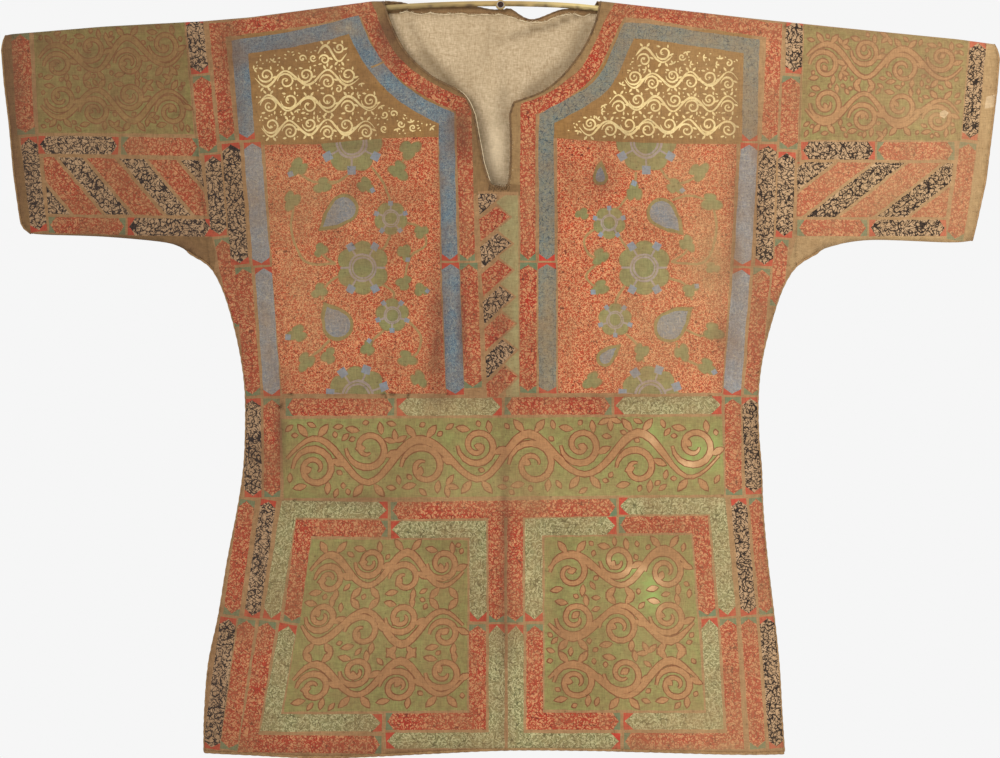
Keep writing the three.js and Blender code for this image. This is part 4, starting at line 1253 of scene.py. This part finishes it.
def aged_group():
    """What all the painted cloth shares: stains, fading, dust, the unevenness of hand painting, and a colour
    that darkens towards the left and pales and brightens towards the right.
    """
    tree = bpy.data.node_groups.new("aged_cloth", "ShaderNodeTree")
    sockets = (("Color", "INPUT", "Color"), ("Color", "OUTPUT", "Color"), ("Height", "OUTPUT", "Float"))
    for name, way, kind in sockets:
        tree.interface.new_socket(name, in_out=way, socket_type="NodeSocket" + kind)
    shade = Shade("", tree)
    colour = shade.node("NodeGroupInput").outputs[0]
    leave = shade.node("NodeGroupOutput")
    parts = shade.wear_and_painted_light()
    x = shade.split(shade.where())[0]
    fading = shade.math("MULTIPLY", parts[1], shade.ramp(shade.noise(90, 3), 0.3, 0.7, 0.5, 1.1))
    cloudy = shade.ramp(shade.noise(34, 4, None, 0.6), 0.3, 0.7, 0.55, 1.15)
    stain = shade.math("MULTIPLY", shade.math("MULTIPLY", parts[0], cloudy), 0.86)
    washes = (
        (shade.ramp(shade.noise(46, 4, None, 0.62), 0.36, 0.68, 0.02, 0.36), (160, 122, 82)),
        (fading, (182, 152, 104)),
        (stain, (98, 64, 46)),
        (shade.ramp(shade.noise(14, 3, None, 0.55), 0.42, 0.66, 0.0, 0.3), (122, 88, 56)),
        # darker and browner towards the left, paler towards the right
        (shade.ramp(x, 0.05, -0.5, 0.0, 0.34), (112, 84, 54)),
        (shade.ramp(x, 0.1, 0.42, 0.0, 0.24), (214, 176, 128)),
    )
    for share, tint in washes:
        colour = shade.mix(share, colour, rgb(*tint))
    # darker at the left, brighter at the right
    colour = shade.brighten(colour, shade.ramp(x, -0.42, 0.42, 0.8, 1.14))
    specks = shade.ramp(shade.noise(420, 2), 0.64, 0.74, 0.0, 0.4)
    colour = shade.mix(specks, colour, rgb(70, 48, 34))
    weave = shade.weave(900, 1, 0.16)
    colour = shade.brighten(colour, shade.ramp(weave, 0.35, 0.65, 0.86, 1.12))
    rumples = shade.noise(60, 3, None, 0.55)
    height = shade.math("ADD", shade.math("MULTIPLY", weave, 0.3), rumples)
    tree.links.new(colour, leave.inputs[0])
    tree.links.new(height, leave.inputs[1])
    return tree


aged = aged_group()
INK_STRENGTH = 0.93


def cotton(name, base, second, blotch=0.5, marks=(), rough=0.9, bump=0.35, ink=(), fresh=None):
    """Painted or bare cotton in two blotchy colours. marks are strokes under the shared colour changes and
    ink is over them.
    fresh is the colour the paint keeps where it hasn't worn."""
    shade = Shade(name)
    uneven = shade.ramp(shade.noise(170, 3, None, 0.6), 0.32, 0.68, 0.0, blotch)
    colour = shade.drawn(shade.mix(uneven, rgb(*base), rgb(*second)), marks)
    group = shade.node("ShaderNodeGroup", {0: colour}, node_tree=aged)
    colour = group.outputs[0]
    if fresh:
        patchy = shade.ramp(shade.noise(120, 3), 0.36, 0.56, 0.45, 1.0)
        colour = shade.mix(shade.math("MULTIPLY", shade.wear_and_painted_light()[2], patchy), colour, rgb(*fresh))
    colour = shade.drawn(colour, ink, INK_STRENGTH)
    return shade.finish(colour, rough, group.outputs[1], bump, 0.0012, 0.25)


INK = (40, 31, 28)
RED_INK = (170, 48, 33)
PALETTE = {
    "ground": cotton("cotton_ground", (176, 136, 94), (146, 108, 70), 0.8),
    "brown": cotton("cotton_brown", (140, 108, 68), (108, 82, 50), 0.7),
    "tan_edge": cotton("cotton_tan", (184, 152, 106), (156, 124, 80), 0.7),
    "neck_edge": cotton("cotton_neck_edge", (160, 128, 84), (132, 102, 64), 0.7),
    "pale_patch": cotton("cotton_pale_patch", (232, 206, 166), (214, 184, 140), 0.6),
    "inside": cotton("cotton_inside", (160, 128, 88), (134, 102, 66), 0.6),
    "red_band": cotton("paint_red_band", (216, 148, 102), (186, 116, 76), 0.6, (
        ("line", RED_INK, 165, 0.052, 1.3), ("curl", RED_INK, 215, 0.1, 6.1),
        ("line", RED_INK, 260, 0.036, 7.7), ("line", (112, 32, 26), 225, 0.02, 4.1))),
    "black_band": cotton("paint_black_band", (202, 166, 128), (166, 132, 98), 0.6, ink=(
        ("line", INK, 128, 0.034, 2.2), ("curl", INK, 250, 0.08, 8.4), ("line", INK, 240, 0.034, 5.5))),
    "blue_band": cotton("paint_blue_band", (98, 126, 138), (114, 130, 132), 0.6, (
        ("line", (142, 152, 148), 300, 0.03, 3.5), ("curl", (60, 90, 112), 330, 0.06, 6.6))),
    "blue_pale": cotton("paint_blue_pale", (140, 148, 154), (126, 134, 136), 0.6, (
        ("line", (170, 168, 156), 260, 0.03, 3.7), ("curl", (110, 124, 134), 320, 0.06, 6.2))),
    "blue_worn": cotton("paint_blue_worn", (112, 122, 116), (132, 124, 102), 0.7, (
        ("line", (66, 82, 86), 210, 0.03, 3.9), ("curl", (140, 136, 112), 270, 0.05, 6.9))),
    "pale_band": cotton("paint_pale_band", (148, 146, 100), (134, 126, 82), 0.8, (
        ("line", (194, 188, 138), 185, 0.04, 2.9), ("curl", (190, 182, 134), 240, 0.07, 7.9),
        ("line", (92, 94, 60), 200, 0.026, 5.2))),
    "red_end": cotton("paint_red_end", (196, 52, 42), (172, 48, 38), 0.5),
    "pale_green": cotton("paint_pale_green", (166, 156, 108), (146, 134, 88), 0.7),
    "green_end": cotton("paint_green_end", (94, 124, 92), (108, 118, 80), 0.5),
    "green_panel": cotton("paint_green_panel", (148, 148, 86), (130, 118, 70), 0.8, fresh=(158, 180, 100)),
    "sleeve_panel": cotton("paint_sleeve_panel", (146, 140, 80), (114, 98, 56), 0.9),
    "scroll_line": cotton("paint_scroll_line", (124, 68, 42), (108, 64, 38), 0.4),
    "scroll_fill": cotton("paint_scroll_fill", (184, 132, 88), (164, 116, 74), 0.6, fresh=(234, 188, 138)),
    "scroll_faint": cotton("paint_scroll_faint", (158, 124, 74), (132, 102, 58), 0.8),
    "field": cotton("paint_flower_field", (192, 76, 46), (172, 62, 40), 0.5, (
        ("line", (230, 160, 110), 300, 0.05, 1.9), ("curl", (230, 160, 110), 330, 0.075, 3.3),
        ("line", (108, 32, 24), 300, 0.022, 5.9))),
    "petal": cotton("paint_petal", (144, 142, 90), (126, 120, 76), 0.8),
    "petal_heart": cotton("paint_petal_heart", (138, 138, 88), (118, 120, 78), 0.7),
    "leaf": cotton("paint_leaf", (138, 138, 88), (120, 114, 72), 0.7),
    "leaf_line": cotton("paint_leaf_line", (150, 118, 72), (128, 100, 62), 0.5),
    "olive": cotton("paint_olive", (142, 130, 80), (124, 108, 68), 0.5),
    "lilac": cotton("paint_lilac", (166, 150, 142), (148, 136, 122), 0.5),
    "blue_dot": cotton("paint_blue_bud", (132, 146, 158), (136, 142, 140), 0.5),
    "paisley": cotton("paint_paisley", (118, 128, 136), (138, 136, 130), 0.6, (
        ("line", (160, 152, 140), 240, 0.028, 3.1),)),
    "vine": cotton("paint_vine", (170, 138, 88), (146, 114, 72), 0.5),
    "gold_ground": cotton("paint_gold_ground", (158, 117, 66), (132, 95, 52), 0.7),
    "gold": cotton("paint_gold", (255, 230, 164), (240, 204, 130), 0.6, (), 0.5, 0.2),
}


def linen_material():
    """Plain weave with cloudy patches, painted shade along its folds and painted light inside the slit."""
    shade = Shade("linen")
    weave = shade.weave(950, 2, 0.2, 0.6)
    colour = shade.mix(shade.ramp(weave, 0.36, 0.64), rgb(172, 146, 110), rgb(218, 194, 158))
    cloudy = shade.ramp(shade.noise(24, 4, None, 0.6), 0.42, 0.7, 0.0, 0.3)
    colour = shade.mix(cloudy, colour, rgb(166, 142, 106))
    parts = shade.wear_and_painted_light()
    # painted light inside the slit
    colour = shade.mix(parts[1], colour, rgb(255, 232, 192))
    # painted shade along the lining's folds
    colour = shade.mix(parts[0], colour, rgb(104, 84, 54))
    return shade.finish(colour, 0.95, weave, 0.5, 0.0008, 0.2)


def plain_material(name, base, second, scale, rough, metal=0.0, bump=0.3):
    shade = Shade(name)
    value = shade.noise(scale, 4, None, 0.6)
    colour = shade.mix(shade.ramp(value, 0.35, 0.65), rgb(*base), rgb(*second))
    return shade.finish(colour, rough, value, bump, 0.0006, metal=metal)


# The rod's knots: place along it and reach, in metres.
KNOTS = ((-0.031, 0.006), (0.077, 0.003), (-0.07, 0.004), (0.045, 0.0025), (-0.2, 0.004))


def wood_material():
    """Peeled branch: long grain, brown knots, and painted shade on its underside and on the knots there."""
    shade = Shade("rod_wood")
    grain = shade.noise(700, 3, shade.where((0.03, 1, 1)), 0.6)
    colour = shade.mix(shade.ramp(grain, 0.35, 0.65), rgb(206, 174, 108), rgb(166, 132, 78))
    patchy = shade.ramp(shade.noise(60, 3, shade.where((0.6, 1, 1)), 0.6), 0.52, 0.66, 0.0, 0.55)
    colour = shade.mix(patchy, colour, rgb(142, 124, 72))
    along = shade.split(shade.where())[0]
    colour = shade.mix(shade.ramp(along, 0.0, -0.07, 0.0, 0.55), colour, rgb(138, 122, 76))
    colour = shade.mix(shade.ramp(along, 0.02, 0.08, 0.0, 0.6), colour, rgb(244, 222, 150))
    # Painted shade: the rod is darker where it faces down, in uneven patches.
    facing = shade.split(shade.node("ShaderNodeNewGeometry").outputs["Normal"])[2]
    underside_shade_patches = shade.ramp(shade.noise(80, 2), 0.35, 0.6, 0.25, 0.95)
    under = shade.math("MULTIPLY", shade.ramp(facing, 0.1, -0.55), underside_shade_patches)
    colour = shade.mix(under, colour, rgb(104, 84, 46))
    # The knots are painted darker where the rod faces down, as shade.
    underside_knot_shade = shade.ramp(facing, 0.4, -0.4, 0.1, 0.6)
    for centre, reach in KNOTS:
        away = shade.math("ABSOLUTE", shade.math("SUBTRACT", along, centre))
        knot = shade.math("MULTIPLY", shade.ramp(away, reach, reach * 0.2), underside_knot_shade)
        colour = shade.mix(knot, colour, rgb(78, 52, 34))
    return shade.finish(colour, 0.55, grain, 0.4, 0.0004)


PALETTE["linen"] = linen_material()
PALETTE["scrap"] = cotton("cotton_scrap", (92, 74, 50), (196, 176, 140), 0.8)
thread = plain_material("pale_thread", (226, 206, 170), (204, 180, 138), 500, 0.95)
edge_cloth = cotton("rolled_edge", (176, 140, 96), (126, 94, 58), 0.9, (), 0.95, 0.8)
dark_edge = plain_material("dark_edge", (92, 68, 44), (128, 98, 62), 210, 0.95, bump=0.8)
iron = plain_material("peg_iron", (42, 30, 26), (74, 50, 38), 400, 0.55, 0.7)
rim_metal = plain_material("peg_rim", (196, 184, 176), (160, 146, 136), 300, 0.45, 0.4)

# ---------- Camera, light and floor, in metres ----------
CAMERA_PLACE = (-0.0005, -6.0, -0.3742)  # straight in front of the middle of the shirt
CAMERA_LENS = 216  # at that distance the shirt fills the view from cuff to cuff
LIGHT_AIM = (0, 0, -0.35)
FLOOR_HALF, FLOOR_LEVEL = 6.5, -1.35

scene = bpy.context.scene
scene.view_settings.view_transform = "Standard"
lens = bpy.data.cameras.new("camera")
lens.lens = CAMERA_LENS
lens.sensor_width = 36
lens.clip_end = 60
camera = bpy.data.objects.new("camera", lens)
camera.location = CAMERA_PLACE
camera.rotation_euler = (math.radians(90), 0, 0)
scene.collection.objects.link(camera)
scene.camera = camera

world = bpy.data.worlds.new("studio")
world.use_nodes = True
world.node_tree.nodes["Background"].inputs["Color"].default_value = rgb(246, 246, 246)
world.node_tree.nodes["Background"].inputs["Strength"].default_value = 1.0
scene.world = world


def soft_light(name, place, size, power):
    lamp = bpy.data.lights.new(name, "AREA")
    lamp.size = size
    lamp.energy = power
    made = bpy.data.objects.new(name, lamp)
    made.location = place
    made.rotation_euler = (Vector(LIGHT_AIM) - Vector(place)).to_track_quat("-Z", "Y").to_euler()
    scene.collection.objects.link(made)


soft_light("key", (-1.9, -2.6, 1.1), 1.1, 34)
soft_light("back_fill", (1.6, 2.8, 0.8), 1.6, 26)

floor_mesh = bpy.data.meshes.new("floor")
floor_corners = [(FLOOR_HALF * a, FLOOR_HALF * b, FLOOR_LEVEL)
                 for a, b in ((-1, -1), (1, -1), (1, 1), (-1, 1))]
floor_mesh.from_pydata(floor_corners, [], [(0, 1, 2, 3)])
floor = bpy.data.objects.new("floor", floor_mesh)
floor_mesh.materials.append(plain_material("pale_floor", (236, 236, 238), (232, 232, 234), 2, 0.9, bump=0.0))
scene.collection.objects.link(floor)

# ---------- Painted cotton: front, back and sleeves ----------
front_parts = cloth_side(paint_front(), neck_front(), FRONT)
back_parts = cloth_side(paint_back(), neck_back(), BACK)


def body_piece(name, part):
    points, triangles, paints, wear_and_painted_light = part
    points, triangles, wear_and_painted_light = compact(points, triangles, wear_and_painted_light)
    return shell(name, points, triangles, paints, COTTON, "inside", wear_and_painted_light)


def sleeve_piece(name, key):
    """The front and back halves of a sleeve, joined at the fold, the underarm seam and the armhole's ends."""
    points, triangles, paints, wear_and_painted_light = front_parts[key]
    points, triangles, wear_and_painted_light = compact(points, triangles, wear_and_painted_light)
    other, more, more_paints, other_wear = back_parts[key]
    other, more, other_wear = compact(other, more, other_wear)
    more = [tuple(i + len(points) for i in t) for t in more]
    both, both_wear = np.concatenate([points, other]), np.concatenate([wear_and_painted_light, other_wear])
    points, triangles, paints, wear_and_painted_light = weld(both, triangles + more, paints + more_paints, both_wear)
    return shell(name, points, triangles, paints, COTTON, "inside", wear_and_painted_light)


front = body_piece("shirt_front", front_parts["body"])
back = body_piece("shirt_back", back_parts["body"])
sleeve_left = sleeve_piece("shirt_sleeve_left", "left")
sleeve_right = sleeve_piece("shirt_sleeve_right", "right")

# ---------- Linen lining ----------
LINING_SPACING = 5.0
LINING_INSET = 8  # from the side seams
LINING_HEM_RISE = 10  # above the hem
LINING_TOP = 11.7  # below the crest
LINING_TOP_COUNT = 18  # points along each shoulder
LINING_TOP_LEFT, LINING_TOP_RIGHT = -308, 294
LINING_FOOT_LEFT, LINING_FOOT_RIGHT = (-286, -738), (274, -738)


def lining_top(x):
    """The lining's top edge, a little below the fold of the cotton."""
    return (x, float(crest_middle(x)) - LINING_TOP)


def lining_outline(neck):
    left = [(row[1] + LINING_INSET, row[0]) for row in SIDES[:-1]]
    right = [(row[2] - LINING_INSET, row[0]) for row in SIDES[-2::-1]]
    hem = [(x, z + LINING_HEM_RISE) for x, z in HEM if -280 < x < 270]
    outline = resample([lining_top(LINING_TOP_LEFT)] + left + [LINING_FOOT_LEFT], LINING_SPACING)
    outline += resample([LINING_FOOT_LEFT] + hem + [LINING_FOOT_RIGHT], LINING_SPACING)[1:]
    outline += resample([LINING_FOOT_RIGHT] + right + [lining_top(LINING_TOP_RIGHT)], LINING_SPACING)[1:]
    outline += [lining_top(x) for x in np.linspace(LINING_TOP_RIGHT, neck[0][0], LINING_TOP_COUNT)][1:-1]
    outline += neck
    outline += [lining_top(x) for x in np.linspace(neck[-1][0], LINING_TOP_LEFT, LINING_TOP_COUNT)][1:-1]
    return outline


# The frayed top edge of the back's lining in the neck opening.
FRAYED = (
    (-101, -8.6), (-93.5, -6.9), (-80.5, -10), (-71.5, -8.4), (-56, -9.8), (-37.5, -9), (-29.5, -11),
    (-19.5, -9.8), (-5.5, -10.4), (-1.5, -9.4), (7.5, -11.7), (17.5, -14.8), (24.5, -17), (29.5, -17.6),
    (44.5, -17), (56.5, -12), (72.5, -9.4), (82.5, -11.8), (90, -9),
)
# Painted shade along the lining's folds and edges: from u, v to u, v, half width, amount.
LINING_FOLD_SHADE = (
    (578, 15, 552, 25, 2.4, 0.78), (552, 25, 530, 31, 3.0, 0.66), (532, 30, 512, 36, 3.8, 0.42),
    (514, 35, 498, 42, 5, 0.2), (424, 52, 446, 78, 6, 0.56), (446, 78, 466, 104, 7, 0.62),
    (466, 100, 477, 140, 6, 0.62), (474, 134, 482, 164, 4, 0.4), (504, 92, 505, 118, 5, 0.3),
    (508, 120, 508, 170, 2.5, 0.3), (586, 24, 572, 58, 6, 0.42), (572, 58, 530, 92, 6, 0.4),
    (410, 22, 424, 52, 5, 0.32), (492, 30, 486, 60, 5, 0.14), (500, 100, 499, 120, 8, 0.22),
    (410, 12, 590, 14, 3, 0.2),
)
# Painted light on the lining inside the slit: u, v, reach in u, reach in v, amount.
LINING_LIGHT = ((495, 150, 12, 34, 0.5), (490, 112, 12, 24, 0.16))


def lining_fold_shade(x, z):
    """The painted shade along the folds listed above, at each point."""
    amount = np.zeros(x.shape)
    for u0, v0, u1, v1, reach, strength in LINING_FOLD_SHADE:
        near = distance_to_lines(x, z, [(at_sheet(u0, v0), at_sheet(u1, v1))])
        amount = np.maximum(amount, strength * np.exp(-(near / reach) ** 2))
    return amount


def lining_piece(name, neck, form):
    flat, rows = flat_mesh(lining_outline(neck), [], LINING_SPACING, fold_rows=False)
    x, z = flat[:, 0], flat[:, 1]
    middle = np.column_stack([x, surface(x, z, form, LINING_GAP), z])
    wear_and_painted_light = np.zeros((len(x), 4))
    # the back's lining carries painted shade along its folds and painted light inside the slit
    if form is BACK_LINING:
        wear_and_painted_light[:, 0] = lining_fold_shade(x, z)
        wear_and_painted_light[:, 1] = patches(LINING_LIGHT, x, z)
    triangles = [t[::-1] if form is BACK_LINING else t for t, _ in rows]
    return shell(name, middle, triangles, ["linen"] * len(triangles), LINEN, "linen", wear_and_painted_light)


def lining_neck_front():
    """A little wider than the cotton's neck and slit."""
    return [(x + (1.5 if x > 0 else -1.5), z - 1.0) for x, z in neck_front() if z < -16]


lining_front = lining_piece("shirt_lining_front", lining_neck_front(), FRONT)
lining_back = lining_piece("shirt_lining_back", curve(FRAYED, 3)[::-1], BACK_LINING)


# ---------- Edges: rolled hems, threads and stitches ----------
def on_cloth(points, form, out=0.0):
    """The points laid on one side of the cloth, or a little way out from it."""
    x, z = np.array([p[0] for p in points]), np.array([p[1] for p in points])
    y = surface(x, z, form) + form[0] * out
    return [tuple(p) for p in np.column_stack([x, y, z])]


def scalloped(base, extra, count):
    """A radius that swells between the stitches."""
    return lambda t: base + extra * abs(math.sin(math.pi * t * count))


def cuff_loop(hand):
    outline = cuff_points(hand)
    near, far = on_cloth(outline, FRONT), on_cloth(outline, BACK)
    near[-1] = (near[-1][0], 0, near[-1][2])
    return near + far[1:-1][::-1]


hem_line = curve(HEM, 3)
hem_radius = scalloped(1.15, 0.5, 62)
hem_roll_front = cords("hem_roll_front", [on_cloth(hem_line, FRONT, 0.1)], hem_radius, edge_cloth)
hem_roll_back = cords("hem_roll_back", [on_cloth(hem_line, BACK, 0.1)], hem_radius, edge_cloth)
side_seams = [[(x, 0, z) for x, z in resample(edge, 3) if z < -246] for edge in PINCHED]
seam_roll = cords("side_seam_roll", side_seams, scalloped(1.0, 0.45, 58), edge_cloth)
cuff_radius = scalloped(0.85, 0.3, 44)
cuff_roll_left = cords("cuff_roll_left", [cuff_loop(1)], cuff_radius, edge_cloth, True)
cuff_roll_right = cords("cuff_roll_right", [cuff_loop(2)], cuff_radius, edge_cloth, True)
neck_line = on_cloth(resample(neck_front(), 2.5), FRONT)
neck_roll = cords("neck_roll_front", [neck_line], scalloped(0.95, 0.3, 90), dark_edge)
neck_back_line = on_cloth(resample(neck_back(), 2.5), BACK)
neck_roll_back = cords("neck_roll_back", [neck_back_line], scalloped(0.85, 0.3, 40), dark_edge)


def loose_threads(name, lines, count, length, out, side, droop=0.3):
    """Frayed ends: short threads that leave an edge in slightly different directions."""
    radius = 0.2
    paths = []
    for _ in range(count):
        line = rng.choice(lines)
        start = Vector(rng.choice(line))
        reach = rng.uniform(*length)
        lean = rng.uniform(-1.2, 1.2)
        path = []
        for t in (0, 0.25, 0.5, 0.75, 1):
            rise = reach * t * (1 - droop * t) * rng.uniform(0.9, 1.1)
            path.append(start + Vector((lean * reach * t, side * out * t, rise)))
        paths.append(path)
    return cords(name, paths, lambda t: radius * (1 - 0.5 * t), thread, False, 4)


frayed = []
for x, y, z in on_cloth([(x, z + 0.3) for x, z in curve(FRAYED, 2)], BACK_LINING, -2.15):
    stray_y, stray_z = noise.noise(Vector((x / 3, 1, 0))), noise.noise(Vector((x / 4, 0, 3)))
    frayed.append((x, y + 0.25 * stray_y, z + 0.7 * stray_z))
frayed_edge = cords("lining_frayed_edge", [frayed], lambda t: 0.5 + 0.2 * math.sin(90 * t), thread)
frayed_threads = loose_threads("lining_threads", [frayed], 150, (0.8, 3.0), -0.2, 1)
worn_stretches = [neck_line[len(neck_line) // 3:len(neck_line) // 2], neck_line[12:60]]
neck_threads = loose_threads("neck_threads", worn_stretches, 60, (1.0, 3.2), 0.6, -1, 1.4)


def stitch(number):
    """One of the overcast stitches at the foot of the slit."""
    x = -12 + 2.4 * number
    z = -183.5 + 0.9 * math.sin(number * 2.1)
    y = float(surface(np.array([x]), np.array([z]), FRONT)[0])
    return [(x, y - 0.7, z - 2.6), (x + 0.5, y - 1.7, z), (x + 1.3, y - 0.6, z + 3.2)]


slit_stitches = cords("slit_stitches", [stitch(number) for number in range(9)], 0.45, dark_edge, False, 5)
cord = [(x + 1.5, z) for x, z in curve(NECK_LEFT, 3) if z < -84]
cord += [(x + 1.3, z) for x, z in curve(SLIT, 3) if x < -11]
slit_cord = cords("slit_cord", [on_cloth(cord, FRONT, -0.3)], 0.6, thread)


def neck_scrap(columns=20, rows=8):
    """A torn scrap of cloth caught behind the rod at the left neck corner."""
    points, faces = [], []
    for j in range(rows + 1):
        for i in range(columns + 1):
            s, t = i / columns, j / rows
            points.append((-116 + 22 * s + 0.8 * math.sin(9 * t),
                           5.2 + 1.1 * math.sin(8 * s + 3 * t) * t + 0.5 * math.sin(15 * s),
                           -3.4 + 7.2 * t * (1 - 0.35 * s) + 0.9 * math.sin(11 * s + 2 * t) * t))
    for j in range(rows):
        for i in range(columns):
            a = j * (columns + 1) + i
            faces += [(a, a + 1, a + columns + 2), (a, a + columns + 2, a + columns + 1)]
    wear_and_painted_light = np.zeros((len(points), 4))
    return shell("neck_scrap", points, faces, ["scrap"] * len(faces), 0.7, "scrap", wear_and_painted_light)


scrap = neck_scrap()

# ---------- Rod and peg ----------
for node_name, material in (("hanging_rod", wood_material()), ("wall_peg", iron)):
    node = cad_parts[node_name]
    node.data.materials.clear()
    node.data.materials.append(material)
PEG_RIM, PEG_FACE, PEG_RIM_COUNT = 3.1, -4.0, 28
rim_angles = [2 * math.pi * i / PEG_RIM_COUNT for i in range(PEG_RIM_COUNT)]
rim = [(PEG_RIM * math.cos(angle), PEG_FACE, PEG_RIM * math.sin(angle)) for angle in rim_angles]
peg_rim = cords("peg_rim", [rim], 0.42, rim_metal, True, 8)

# ---------- Riding and replacing ---------------------
cloths = ((front, "front"), (back, "back"), (sleeve_left, "sleeve_left"), (sleeve_right, "sleeve_right"),
          (lining_front, "lining_front"), (lining_back, "lining_back"))
for piece, node_name in cloths:
    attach(piece, "root")
    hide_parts(node_name)
for piece in (hem_roll_front, hem_roll_back, seam_roll, cuff_roll_left, cuff_roll_right, neck_roll,
              neck_roll_back, slit_stitches, scrap):
    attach(piece, "root")
for piece in (frayed_edge, frayed_threads, neck_threads, slit_cord):
    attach(piece, "root")
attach(peg_rim, "root")
